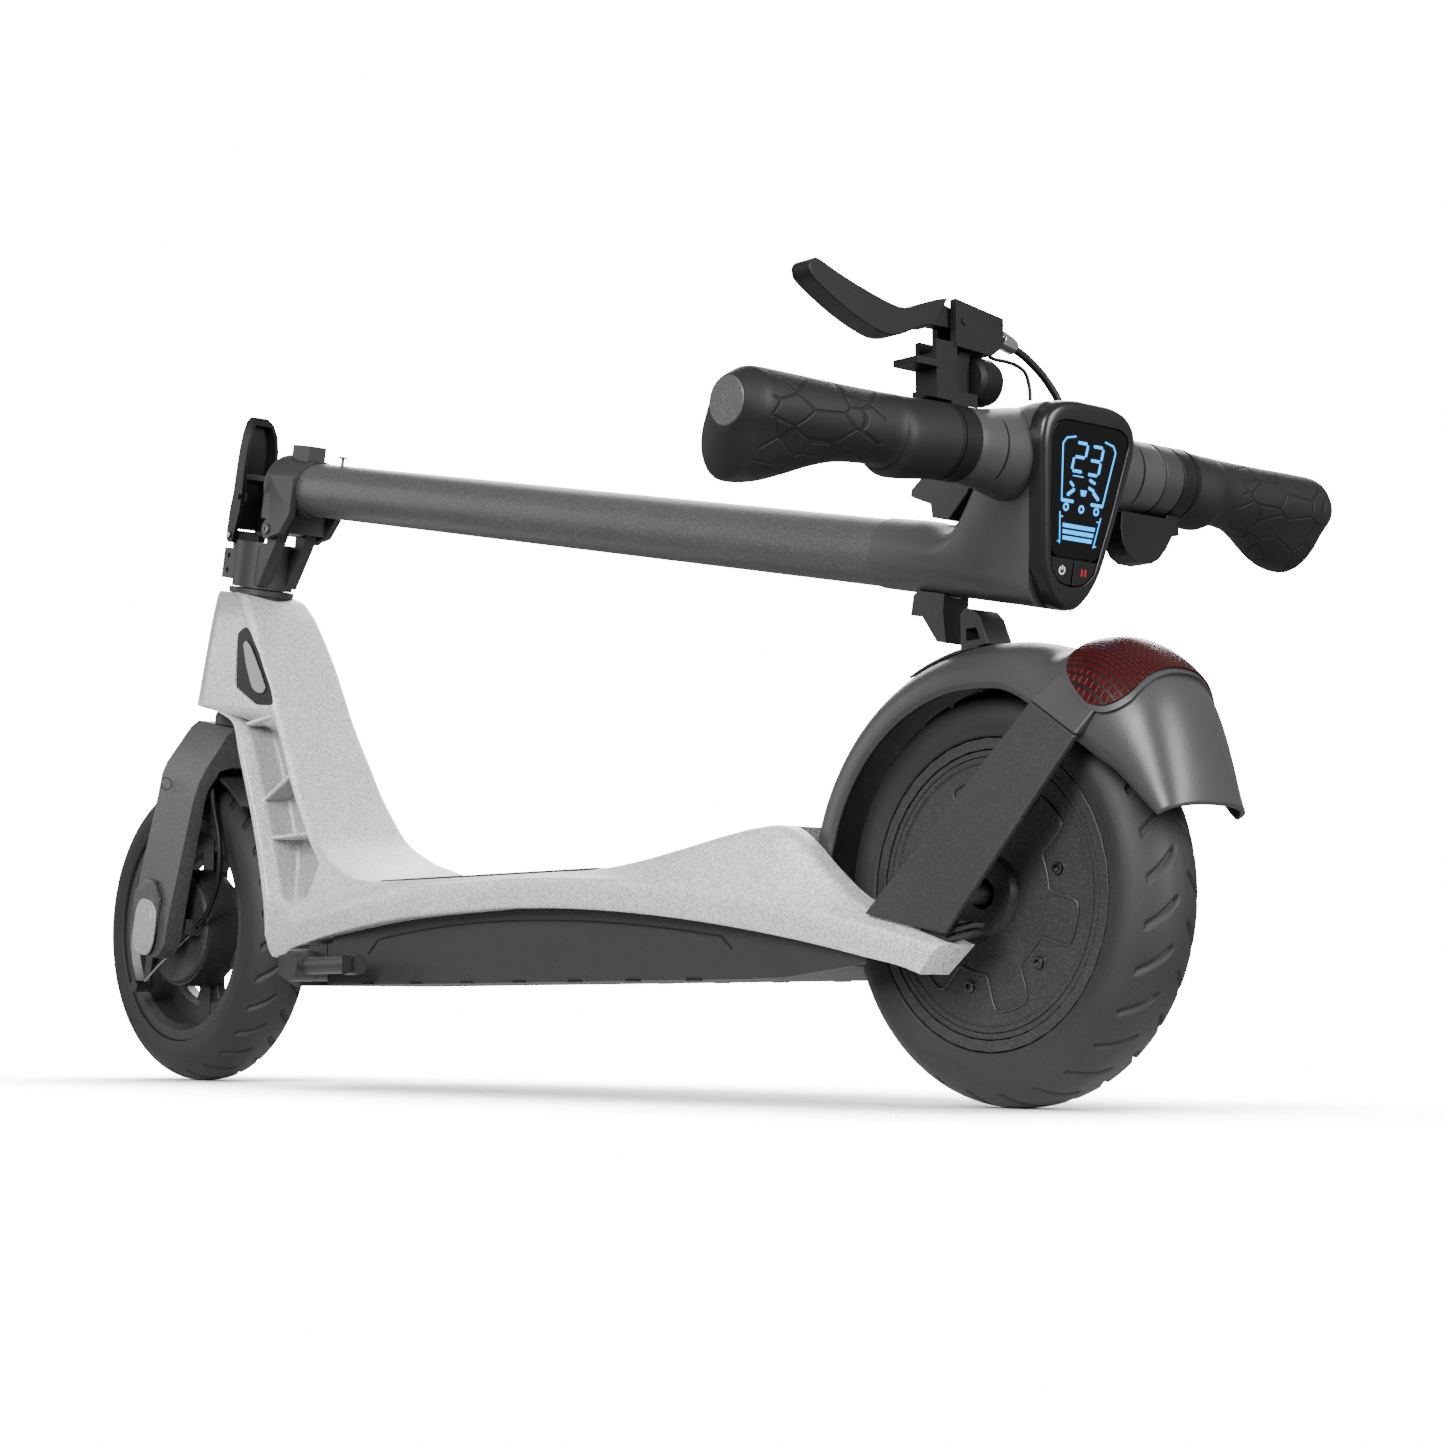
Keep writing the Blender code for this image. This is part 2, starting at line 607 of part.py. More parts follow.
def fork():
    front = [
        (-0.0235, -0.1142), (-0.0300, -0.1200), (-0.0470, -0.1500), (-0.0500, -0.1600),
        (-0.0562, -0.2700), (-0.0562, -0.3090), (-0.0418, -0.3090), (-0.0400, -0.1660),
        (-0.0330, -0.1500), (-0.0200, -0.1455)]
    front += [(-y, z) for y, z in front[::-1]]
    body = plate("fork", front, -0.0500, 0.0300, axis="X")
    side = [
        (-0.0330, -0.1100), (0.0235, -0.1100), (0.0245, -0.1300), (0.0235, -0.1560), (0.0185, -0.1760),
        (0.0120, -0.2600), (0.0100, -0.2930), (0.0030, -0.3040), (-0.0080, -0.3085), (-0.0290, -0.3085),
        (-0.0390, -0.3020), (-0.0435, -0.2880), (-0.0440, -0.2590), (-0.0370, -0.1800),
        (-0.0360, -0.1560)]
    boolean(body, plate("fork_side", side, -0.08, 0.08, cutter=True), "INTERSECT")
    join(body, rod("steerer", (0, 0, -0.1250), (0, 0, 0.0300), 0.0168, 28))
    cut(body, rod("axle_hole", (AXLE_TRAIL[0], -0.08, AXLE_TRAIL[1]), (AXLE_TRAIL[0], 0.08, AXLE_TRAIL[1]),
                  0.0064, 20, True))
    bake(body)
    finish(body, GREY, 0.45, 0.3, STEERED)


def mudguard():
    """Short arc under the fork's crown."""
    angles = [radians(a) for a in range(56, 116, 6)]
    outer = [(0.1345 * cos(a), 0.1345 * sin(a)) for a in angles]
    inner = [(0.1318 * cos(a), 0.1318 * sin(a)) for a in angles[::-1]]
    guard = plate("front_mudguard", outer + inner, -0.0295, 0.0295)
    finish(guard, GREY, 0.5, parent=FRONT_HUB)


def front_axle_set():
    finish(rod("front_axle", (0, -0.0555, 0), (0, 0.0555, 0), 0.0060, 20), SILVER, 0.35, 0.9, FRONT_HUB)
    centre = (-0.0046, 0.0124)
    lean = Matrix.Rotation(radians(-2), 2)
    for side, name in ((-1, "axle_cover_left"), (1, "axle_cover_right")):
        rings = []
        for y, inset in ((0.0566, 0.0), (0.0592, 0.0), (0.0608, 0.0025)):
            w, h, c = 0.0195 - inset, 0.0262 - inset, 0.0125
            corners = [(w, h - c), (w - c, h), (c - w, h), (-w, h - c), (-w, c - h), (c - w, -h),
                       (w - c, -h), (w, c - h)]
            turned_corners = [lean @ Vector(p) for p in corners]
            rings.append([(centre[0] + p.x, side * y, centre[1] + p.y) for p in turned_corners])
        finish(loft(name, rings), SILVER, 0.45, 0.8, FRONT_HUB)


def drum_brake():
    """Backplate, shoes, cam arm and the bare inner wire, about the front axle."""
    back = turned("brake_backplate", [
        (0.0066, 0.0277), (0.0066, 0.0408), (0.0150, 0.0408), (0.0180, 0.0312), (0.0440, 0.0305),
        (0.0455, 0.0277)][::-1], 40)
    clip = box("cable_clip", (0.0300, -0.0405, 0.0000), (0.0400, -0.0290, 0.0120))
    cut(clip, rod("clip_bore", (0.0600, -0.0353, 0.0230), (0.0100, -0.0353, -0.0170), 0.0014, 12, True))
    bake(clip)
    join(back, clip)
    cut(back, rod("cam_bore", (*CAM[:1], -0.05, CAM[1]), (*CAM[:1], 0.0, CAM[1]), 0.0036, 16, True))
    bake(back)
    finish(back, GREY, 0.45, 0.5, FRONT_HUB)
    for name, start in (("brake_shoe_front", 115), ("brake_shoe_rear", -65)):
        angles = [radians(start + 13 * i) for i in range(11)]
        outer = [(0.0412 * cos(a), 0.0412 * sin(a)) for a in angles]
        inner = [(0.0350 * cos(a), 0.0350 * sin(a)) for a in angles[::-1]]
        finish(plate(name, outer + inner, -0.0240, -0.0060), SILVER, 0.6, 0.4, FRONT_HUB)
    arm_outline = [(-0.0055, 0.0045), (0.0055, 0.0045), (0.0045, -0.0270), (0.0040, -0.0345),
                   (-0.0040, -0.0345), (-0.0045, -0.0270)]
    arm = plate("brake_arm", arm_outline, -0.0345, -0.0315)
    join(arm, rod("cam_shaft", (0, -0.0400, 0), (0, -0.0260, 0), 0.0032, 16),
         rod("clamp_bolt", (0, -0.0460, -0.0309), (0, -0.0300, -0.0309), 0.0048, 16))
    bake(arm)
    finish(arm, GREY, 0.4, 0.6, parent=FRONT_HUB, at=(CAM[0], 0.0, CAM[1]))


CAM = (-0.0300, -0.0240)  # cam shaft from the front axle, across and up


def front_cables():
    route = smooth_route([
        (0.0335, -0.0335, 0.1210), (0.0410, -0.0345, 0.1060), (0.0560, -0.0348, 0.0800),
        (0.0620, -0.0350, 0.0500), (0.0520, -0.0352, 0.0210), (0.0425, -0.0353, 0.0110)], 15)
    finish(tube("front_brake_cable", route, 0.0024, 2), BLACK, 0.5, parent=FRONT_HUB)
    wire = smooth_route([
        (0.0292, -0.0353, -0.0016), (0.0120, -0.0372, -0.0170), (-0.0060, -0.0392, -0.0330),
        (-0.0232, -0.0400, -0.0492)], 6)
    finish(tube("brake_inner_wire", wire, 0.0009, 2), SILVER, 0.3, 0.9, FRONT_HUB)


def front_wheel(parent):
    tyre("front_tyre", parent)
    half = [(0.0800, 0.0190), (0.0845, 0.0245), (RIM_LIP, 0.0245), (RIM_LIP, 0.0208), (0.0866, 0.0201)]
    ring = half + [(r, -h) for r, h in half[::-1]]
    rim = turned("front_rim", ring, WHEEL_SIDES)
    drum = turned("drum", [
        (0.0430, 0.0270), (0.0475, 0.0270), (0.0485, 0.0000), (0.0400, -0.0100), (0.0220, -0.0230),
        (0.0062, -0.0230), (0.0062, 0.0000), (0.0430, 0.0000)], 32)
    spokes = []
    for i in range(6):
        spoke = box(f"spoke_{i}", (0.0380, -0.0020, -0.0080), (0.0820, 0.0120, 0.0080))
        spoke.data.transform(Matrix.Rotation(i * pi / 3 + 0.35, 4, "Y"))
        spokes.append(spoke)
    join(rim, drum, *spokes)
    bake(rim)
    finish(rim, GREY, 0.4, 0.5, parent)


def steerer_block():
    """Clamp on the steerer that carries the fold pin behind and the latch in front."""
    body = rod("steerer_block", (0, 0, 0.0002), (0, 0, 0.0375), 0.0245, 40)
    join(body, box("clamp_ears", (-0.0460, -0.0112, 0.0050), (-0.0150, 0.0112, 0.0300)))
    arm = [(0.0100, 0.0030), (0.0100, 0.0340), (0.0278, 0.0360), (0.0276, 0.0492),
           *[(PIVOT_BACK + 0.0084 * cos(a), PIVOT_UP + 0.0084 * sin(a))
             for a in (radians(d) for d in (148, 117, 83, 52, 23, -25))],
           (0.0400, 0.0370), (0.0225, 0.0030)]
    for side in (-1, 1):
        edges = sorted((side * 0.0085, side * 0.0183))
        join(body, plate(f"hinge_arm_{side}", arm, *edges))
    latch_ear = [(-0.0200, 0.0270), (-0.0360, 0.0270), (-0.0385, 0.0405), (-0.0340, 0.0450),
                 (-0.0300, 0.0430), (-0.0275, 0.0360), (-0.0150, 0.0350)]
    join(body, plate("latch_ear", latch_ear, -0.0095, 0.0095))
    bore = rod("clamp_bore", (0, 0, -0.01), (0, 0, 0.0315), 0.0172, 28, True)
    slot = box("clamp_slot", (-0.0600, -0.0010, -0.01), (-0.0100, 0.0010, 0.0325), True)
    pin_bore = rod("fold_bore", (PIVOT_BACK, -0.04, PIVOT_UP), (PIVOT_BACK, 0.04, PIVOT_UP), 0.0042, 20, True)
    latch_bore = rod("latch_bore", (*LATCH_PIN[:1], -0.04, LATCH_PIN[1]), (*LATCH_PIN[:1], 0.04, LATCH_PIN[1]),
                     0.0028, 16, True)
    bake(body)
    cut(body, bore, slot, latch_bore, pin_bore)
    for height in (0.0115, 0.0235):
        cut(body, rod(f"ear_screw_{height}", (-0.0385, -0.02, height), (-0.0385, 0.02, height), 0.0022, 14, True))
    bake(body)
    finish(body, GREY, 0.42, 0.3, STEERED)


LATCH_PIN = (-0.0340, 0.0405)  # from the headset's top, across and along the steering axis
HOOK_PIN = (0.0070, 0.0322)  # from the latch pin


def latch():
    pin = rod("latch_pin", (0, -0.0172, 0), (0, 0.0172, 0), 0.0024, 16)
    finish(pin, SILVER, 0.3, 0.9, LATCH_AXIS)
    half = 0.0155
    rings = []
    # height above the pin, half width, front edge, rear edge
    for up, wide, front, rear in ((-0.0060, 0.0150, -0.0050, 0.0030), (-0.0020, half, -0.0075, 0.0050),
                                  (0.0200, half, -0.0070, 0.0100), (0.0350, half, -0.0045, 0.0108),
                                  (0.0550, half, -0.0040, 0.0098), (0.0720, 0.0150, -0.0036, 0.0100),
                                  (0.0850, 0.0130, -0.0046, 0.0090), (0.0940, 0.0100, -0.0062, 0.0060),
                                  (0.0985, 0.0060, -0.0074, 0.0020)):
        rings.append([(front, -wide * 0.8, up), (front + 0.002, -wide, up), (rear, -wide, up),
                      (rear, wide, up), (front + 0.002, wide, up), (front, wide * 0.8, up)])
    lever = loft("latch_lever", rings)
    inside = loft("latch_inside", [
        [(f, -w, u), (0.03, -w, u), (0.03, w, u), (f, w, u)]
        for u, f, w in ((-0.02, -0.0300, 0.0115), (0.0010, -0.0300, 0.0115), (0.0060, -0.0045, 0.0125),
                        (0.0700, -0.0012, 0.0125), (0.0840, -0.0018, 0.0105), (0.0920, -0.0030, 0.0075))],
        True)
    cut(lever, inside,
        rod("pin_holes", (0, -0.03, 0), (0, 0.03, 0), 0.0028, 16, True))
    for side in (-1, 1):
        join(lever, rod(f"hook_stub_{side}", (HOOK_PIN[0], side * 0.0090, HOOK_PIN[1]),
                        (HOOK_PIN[0], side * 0.0172, HOOK_PIN[1]), 0.0022, 14))
    bake(lever)
    finish(lever, GREY, 0.42, 0.2, LATCH_AXIS)
    hook()


def hook():
    """Bail hung between the lever's stubs; it straddles the stem's block when the stem is up."""
    bail = box("latch_hook", (-0.0052, -0.0117, 0.0150), (-0.0018, 0.0117, 0.0195))
    for side in (-1, 1):
        cheek = plate(f"hook_cheek_{side}", [
            (-0.0052, -0.0080), (-0.0010, -0.0080), (0.0036, -0.0030), (0.0036, 0.0030), (0.0000, 0.0060),
            (-0.0018, 0.0190), (-0.0052, 0.0190)], *sorted((side * 0.0095, side * 0.0117)))
        join(bail, cheek)
    cut(bail, rod("hook_bore", (0, -0.02, 0), (0, 0.02, 0), 0.0026, 16, True))
    bake(bail)
    finish(bail, GREY, 0.4, 0.6, LATCH_AXIS, (HOOK_PIN[0], 0.0, HOOK_PIN[1]))


# ---------------------------------------------------------------- stem, upright in its own frame
AXIS_X = -PIVOT_BACK  # the stem's axis, in front of the fold pin


def circle(radius, x, z, count=24):
    return [(x + radius * cos(a), radius * sin(a), z) for a in (2 * pi * i / count for i in range(count))]


def stem_base():
    profile = [(0.0262, -0.0105), (0.0262, -0.0050), (0.0240, -0.0010), (0.0233, 0.0120), (0.0233, 0.0300)]
    body = loft("stem_base", [circle(r, AXIS_X, z, 28) for r, z in profile])
    ear = [(-0.0440, -0.0105), (-0.0085, -0.0105), (-0.0082, -0.0020),
           *[(0.0082 * cos(a), 0.0082 * sin(a)) for a in (radians(d) for d in (-150, -110, -70, -30, 10, 50))],
           (0.0020, 0.0180), (-0.0140, 0.0300), (-0.0440, 0.0300)]
    for side in (-1, 1):
        edges = sorted((side * 0.0190, side * 0.0248))
        join(body, plate(f"stem_ear_{side}", ear, *edges))
    join(body, box("ear_bridge", (-0.0140, -0.0248, 0.0110), (0.0010, 0.0248, 0.0170)),
         box("lock_block", (AXIS_X - 0.0343, -0.0080, -0.0025), (AXIS_X - 0.0200, 0.0080, 0.0215)))
    cut(body, rod("tube_seat", (AXIS_X, 0, 0.0040), (AXIS_X, 0, 0.05), STEM_RADIUS + GAP, 28, True),
        rod("cable_way", (AXIS_X, 0, -0.03), (AXIS_X, 0, 0.05), 0.0120, 24, True),
        rod("stem_pin_bore", (0, -0.04, 0), (0, 0.04, 0), 0.0042, 20, True))
    bake(body)
    finish(body, GREY, 0.42, 0.3, STEM)
    pin = rod("fold_pin", (0, -0.0252, 0), (0, 0.0252, 0), 0.0038, 20)
    finish(pin, SILVER, 0.3, 0.9, STEM)


def stem_tube():
    body = rod("stem_tube", (AXIS_X, 0, 0.0045), (AXIS_X, 0, 0.7150), STEM_RADIUS, 28)
    cut(body, rod("stem_bore", (AXIS_X, 0, -0.01), (AXIS_X, 0, 0.8), STEM_RADIUS - 0.0025, 28, True))
    bake(body)
    finish(body, GREY, 0.4, 0.4, STEM)


def stem_hook():
    outline = [(-0.0150, 0.7270), (-0.0150, 0.7490), (-0.0040, 0.7500), (0.0148, 0.7560),
               (0.0145, 0.7480), (0.0008, 0.7330), (0.0008, 0.7230), (-0.0120, 0.7230)]
    hook = plate("stem_hook", outline, -0.0110, 0.0110)
    cut(hook, rod("hook_seat", (AXIS_X, 0, 0.70), (AXIS_X, 0, 0.78), STEM_RADIUS + 0.0018, 32, True))
    bake(hook)
    finish(hook, GREY, 0.45, parent=STEM)


SHELL_OUTLINE = [  # forward, half width, from the front edge round to the rider's edge
    (0.1355, 0.0180), (0.1320, 0.0310), (0.1240, 0.0395), (0.1120, 0.0412), (0.0900, 0.0368),
    (0.0700, 0.0325), (0.0500, 0.0285), (0.0350, 0.0245), (0.0230, 0.0175), (0.0140, 0.0085)]
LENS_OUTLINE = [
    (0.1240, 0.0235), (0.1215, 0.0310), (0.1160, 0.0340), (0.0743, 0.0272), (0.0447, 0.0208)]


def mirror_outline(outline, grow=0.0, scale=1.0):
    """A closed outline in X, Y from its left half given as forward and half width."""
    right = [(-(f + grow * (1 if f > 0.075 else -1)), (w + grow) * scale) for f, w in outline]
    return right + [(x, -y) for x, y in right[::-1]]


def bar_head():
    """Casting that joins the stem to the handlebar."""
    def ring(z, front, rear, front_half, rear_half, corner):
        pts = []
        for x, half, sx in ((-front, front_half, 1), (-rear, rear_half, -1)):
            c = min(corner, half * 0.9)
            quarter = [(x + sx * c * (1 - cos(a)), half - c * (1 - sin(a)))
                       for a in (pi / 2 * k / 3 for k in range(4))]
            pts.append(quarter)
        front_q, rear_q = pts
        left = front_q + rear_q[::-1]
        return [(x, y, z) for x, y in left] + [(x, -y, z) for x, y in left[::-1]]

    s = STEM_RADIUS + 0.0012
    rings = [
        ring(0.6900, 0.0360 + s, 0.0360 - s, s, s, s),
        ring(0.7200, 0.0360 + s + 0.0005, 0.0360 - s, s + 0.001, s + 0.0005, s),
        ring(0.7560, 0.0600, 0.0142, 0.0250, 0.0240, 0.020),
        ring(0.7780, 0.0900, 0.0140, 0.0290, 0.0245, 0.018),
        ring(0.7920, 0.1240, 0.0140, 0.0330, 0.0245, 0.016),
        ring(0.8100, 0.1310, 0.0138, 0.0370, 0.0245, 0.015),
        ring(0.8282, 0.1335, 0.0135, 0.0395, 0.0235, 0.014)]
    head = loft("bar_head", rings)
    bar = (-BAR_FORWARD, 0, BAR_UP)
    join(head, rod("head_arms", (bar[0], -0.0810, bar[2]), (bar[0], 0.0810, bar[2]), 0.0222, 32))
    cut(head, plate("bezel_seat", mirror_outline(SHELL_OUTLINE, 0.0006), 0.8283, 0.86, axis="Z", cutter=True),
        rod("head_seat", (AXIS_X, 0, 0.60), (AXIS_X, 0, 0.7160), STEM_RADIUS + GAP, 28, True),
        rod("bar_bore", (bar[0], -0.3, bar[2]), (bar[0], 0.3, bar[2]), 0.0114, 24, True))
    bake(head)
    finish(head, GREY, 0.45, 0.2, STEM)
    finish(rod("handlebar_tube", (bar[0], -0.2450, bar[2]), (bar[0], 0.2450, bar[2]), 0.0110, 24),
           SILVER, 0.4, 0.9, STEM)


def display():
    rings = []
    for z, inset in ((0.8287, 0.0), (0.8370, 0.0), (0.8395, 0.0012), (0.8408, 0.0036)):
        rings.append([(x * (1 - inset / 0.075) - 0.075 * (inset / 0.075), y * (1 - inset / 0.035), z)
                      for x, y in mirror_outline(SHELL_OUTLINE)])
    bezel = loft("display_bezel", rings)
    pocket = mirror_outline(LENS_OUTLINE + [(0.0370, 0.0190), (0.0300, 0.0120), (0.0280, 0.0040)], 0.0)
    cut(bezel, plate("lens_pocket", pocket, 0.8350, 0.86, axis="Z", cutter=True))
    bake(bezel)
    finish(bezel, BLACK, 0.3, parent=STEM)
    glass = [(x * 0.992 - 0.0006, y * 0.982) for x, y in mirror_outline(LENS_OUTLINE)]
    finish(plate("display_lens", glass, 0.8356, 0.8402, axis="Z"), (0.005, 0.006, 0.01), 0.08, parent=STEM)
    for side, name in ((-1, "power_button"), (1, "mode_button")):
        half = [(-0.0438, 0.0006), (-0.0438, 0.0198), (-0.0376, 0.0184), (-0.0306, 0.0118), (-0.0288, 0.0040),
                (-0.0288, 0.0006)]
        outline = [(x, side * y) for x, y in half]
        button = plate(name, outline, -0.0022, 0.0018, axis="Z")
        finish(button, BLACK, 0.35, parent=STEM, at=(0, 0, 0.8386))


def headlight():
    outline = [(-0.0900, 0.7280), (-0.0760, 0.7150), (-0.0715, 0.7150), (-0.0680, 0.7330),
               (-0.0600, 0.7360), (-0.0600, 0.7500), (-0.0760, 0.7620), (-0.0940, 0.7700),
               (-0.1080, 0.7780), (-0.1080, 0.7320)]
    lamp = plate("headlight_housing", outline, -0.0170, 0.0170)
    cut(lamp, box("lamp_mouth", (-0.2, -0.0135, 0.7350), (-0.1020, 0.0135, 0.7720), True))
    bake(lamp)
    finish(lamp, GREY, 0.45, parent=STEM)
    lens = box("headlight_lens", (-0.1075, -0.0131, 0.7354), (-0.1035, 0.0131, 0.7716), bevel=0.001)
    finish(lens, (0.8, 0.85, 0.9), 0.1, parent=STEM)


# ---------------------------------------------------------------- handlebar, level in its own frame
def grip(name, side, inner_end):
    """Soft grip with a palm wing that points back and down when the scooter is ridden."""
    wing = atan2(-0.035, -0.027)
    stations = [
        # distance out, radius, drop of the centre, wing
        (inner_end, 0.0222, 0.0, 0.0), (0.1300, 0.0234, 0.0026, 0.0),
        (0.1385, 0.0226, 0.0018, 0.0), (0.1440, 0.0207, 0.0, 0.0), (0.1600, 0.0205, 0.0, 0.0006),
        (0.1760, 0.0205, 0.0, 0.0030), (0.1920, 0.0206, 0.0, 0.0085), (0.2080, 0.0208, 0.0, 0.0155),
        (0.2240, 0.0210, 0.0, 0.0215), (0.2380, 0.0210, 0.0, 0.0240), (0.2460, 0.0204, 0.0, 0.0225),
        (0.2530, 0.0170, 0.0, 0.0110), (BAR_HALF, 0.0138, 0.0, 0.0)]
    rings = []
    count = 20
    for out, radius, drop, lobe in stations:
        ring = []
        for i in range(count):
            a = 2 * pi * i / count
            r = radius + lobe * max(0.0, cos(a - wing)) ** 2.5
            ring.append((r * cos(a), side * out, r * sin(a) - drop))
        rings.append(ring)
    body = loft(name, rings)
    cut(body, rod(f"{name}_bore", (0, side * 0.05, 0), (0, side * 0.2456, 0), 0.0114, 20, True))
    bake(body)
    finish(body, BLACK, 0.7, parent=BAR)


LEVER_PIVOT = (0.0, -0.0830, 0.0700)


def brake_lever_set():
    ring = rod("brake_clamp", (0, -0.0942, 0), (0, -0.0815, 0), 0.0224, 32)
    saddle = box("saddle", (-0.0100, -0.1060, 0.0150), (0.0100, -0.0730, 0.0280))
    post = box("post", (-0.0085, -0.1050, 0.0240), (0.0085, -0.0880, 0.0565))
    body = plate("lever_body", [(-0.0900, 0.0545), (-0.0900, 0.0820), (-0.0500, 0.0765), (-0.0500, 0.0600),
                                (-0.0600, 0.0530)], -0.0095, 0.0095, axis="X")
    web = box("post_web", (-0.0030, -0.0890, 0.0260), (0.0030, -0.0720, 0.0560))
    stop = box("lever_stop", (-0.0095, -0.1220, 0.0400), (0.0095, -0.1040, 0.0440))
    join(ring, saddle, post, body, web, stop)
    cut(ring, rod("clamp_room", (0, -0.2, 0), (0, -0.0945, 0), 0.0240, 32, True),
        rod("clamp_room_in", (0, -0.0812, 0), (0, 0.0, 0), 0.0226, 32, True),
        rod("clamp_bar", (0, -0.2, 0), (0, 0.0, 0), 0.0114, 24, True),
        plate("lever_slot", [(-0.1100, 0.0490), (-0.1100, 0.0900), (-0.0720, 0.0900), (-0.0680, 0.0780),
                             (-0.0680, 0.0620), (-0.0740, 0.0590), (-0.0840, 0.0490)],
              -0.0050, 0.0050, axis="X", cutter=True))
    join(ring, rod("lever_bolt", (-0.0105, -0.0830, 0.0700), (0.0105, -0.0830, 0.0700), 0.0024, 16))
    bake(ring)
    finish(ring, GREY, 0.45, parent=BAR)
    lever()
    adjuster = turned("barrel_adjuster", [
        (0.0014, -0.0090), (0.0044, -0.0090), (0.0052, -0.0040), (0.0052, 0.0030), (0.0036, 0.0040),
        (0.0036, 0.0090), (0.0014, 0.0090)][::-1], 20)
    adjuster.data.transform(Matrix.Rotation(radians(-18), 4, "X"))
    finish(adjuster, SILVER, 0.25, 1.0, BAR, (0.0, -0.0398, 0.0665))


def lever():
    """Blade outline about its pivot, thinned at the root to sit in the clamp's slot."""
    px, py = LEVER_PIVOT[1], LEVER_PIVOT[2]
    blade = [(-0.0940, 0.0820), (-0.1020, 0.0800), (-0.1113, 0.0768), (-0.1200, 0.0735), (-0.1275, 0.0708),
             (-0.1400, 0.0712), (-0.1638, 0.0768), (-0.1800, 0.0815), (-0.1915, 0.0855), (-0.1980, 0.0872),
             (-0.2025, 0.0845), (-0.2030, 0.0795), (-0.1991, 0.0750), (-0.1850, 0.0672), (-0.1717, 0.0610),
             (-0.1560, 0.0555), (-0.1436, 0.0530), (-0.1330, 0.0545), (-0.1236, 0.0585), (-0.1130, 0.0631),
             (-0.1050, 0.0640)]
    root = [(-0.0800, 0.0740), (-0.0840, 0.0765), (-0.0980, 0.0800), (-0.1040, 0.0780), (-0.1040, 0.0650),
            (-0.0880, 0.0655), (-0.0800, 0.0660), (-0.0775, 0.0700)]
    body = plate("brake_lever", [(y - px, z - py) for y, z in blade], -0.0075, 0.0075, axis="X")
    join(body, plate("lever_root", [(y - px, z - py) for y, z in root], -0.0042, 0.0042, axis="X"))
    cut(body, rod("lever_bore", (-0.02, 0, 0), (0.02, 0, 0), 0.0028, 16, True))
    bake(body)
    finish(body, GREY, 0.4, 0.4, BAR, LEVER_PIVOT)


def bar_cables():
    cable = smooth_route([
        (0.0, -0.0296, 0.0631), (0.0005, -0.0210, 0.0595), (0.0015, -0.0080, 0.0510),
        (0.0025, 0.0020, 0.0410), (0.0030, 0.0060, 0.0345)], 12)
    finish(tube("lever_cable", cable, 0.0025, 2), BLACK, 0.5, parent=BAR)
    wire = smooth_route([
        (0.0, -0.0520, 0.0555), (0.0, -0.0470, 0.0545), (0.0, -0.0330, 0.0545), (0.0, -0.0215, 0.0510),
        (0.0, -0.0175, 0.0420), (0.0, -0.0170, 0.0345)], 12)
    finish(tube("switch_wire", wire, 0.0012, 2), BLACK, 0.5, parent=BAR)


def bell():
    dome = turned("bell", [
        (0.0, 0.0105), (0.0120, 0.0105), (0.0142, 0.0085), (0.0142, -0.0030), (0.0125, -0.0075),
        (0.0080, -0.0100), (0.0, -0.0105)], 32, closed=False)
    finish(dome, GREY, 0.35, 0.5, BAR, (0.0, -0.0610, 0.0385))


def throttle():
    housing = turned("throttle_housing", [(0.0114, -0.0815), (0.0114, -0.0975), (0.0222, -0.0975),
                                          (0.0224, -0.0815)], 32)
    finish(housing, GREY, 0.5, parent=BAR)
    ring = turned("throttle_lever", [(0.0114, -0.0980), (0.0114, -0.1105), (0.0224, -0.1105),
                                     (0.0224, -0.0980)], 32)
    neck = box("paddle_neck", (-0.0070, 0.0985, -0.0330), (0.0070, 0.1100, -0.0200))
    paddle = loft("paddle", [
        [(x, y, z) for x, y in ((-0.0075, inner), (0.0075, inner), (0.0085, outer), (-0.0085, outer))]
        for z, inner, outer in ((-0.0240, 0.0560, 0.1075), (-0.0330, 0.0545, 0.1030), (-0.0430, 0.0560, 0.0960),
                                (-0.0500, 0.0610, 0.0890), (-0.0535, 0.0680, 0.0820))])
    join(ring, neck, paddle)
    bake(ring)
    finish(ring, BLACK, 0.5, parent=BAR)


# ---------------------------------------------------------------- assembly
clear_scene()
SCOOTER = make_collection("electric_kick_scooter")
CUTTERS = make_collection("cutters")
STEERED = empty("steering_axis", HEADSET_TOP, RAKE)
FRONT_HUB = empty("front_hub", (AXLE_TRAIL[0], 0, AXLE_TRAIL[1]), 0.0, STEERED)
REAR_HUB = empty("rear_hub", (REAR_AXLE_X, 0, WHEEL_RADIUS))
LATCH_AXIS = empty("latch_axis", (LATCH_PIN[0], 0, LATCH_PIN[1]), 0.0, STEERED)
STEM = empty("fold_axis", (PIVOT_BACK, 0, PIVOT_UP), FOLD_ANGLE, STEERED)
BAR = empty("bar_axis", (-BAR_FORWARD, 0, BAR_UP), -RAKE - FOLD_ANGLE, STEM)

main_frame()
neck_inserts()
deck_mat()
battery_tray()
electrics()
rear_fender()
tail_light()
fender_stays()
fender_catch()
rear_wheel(REAR_HUB)
rear_axle_and_stator()
kickstand()
headset()
fork()
mudguard()
front_axle_set()
drum_brake()
front_cables()
front_wheel(FRONT_HUB)
steerer_block()
latch()
stem_base()
stem_tube()
stem_hook()
bar_head()
display()
headlight()
grip("grip_left", -1, 0.0948)
grip("grip_right", 1, 0.1110)
brake_lever_set()
bar_cables()
bell()
throttle()
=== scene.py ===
import json
from math import atan2, cos, exp, pi, radians, sin, sqrt

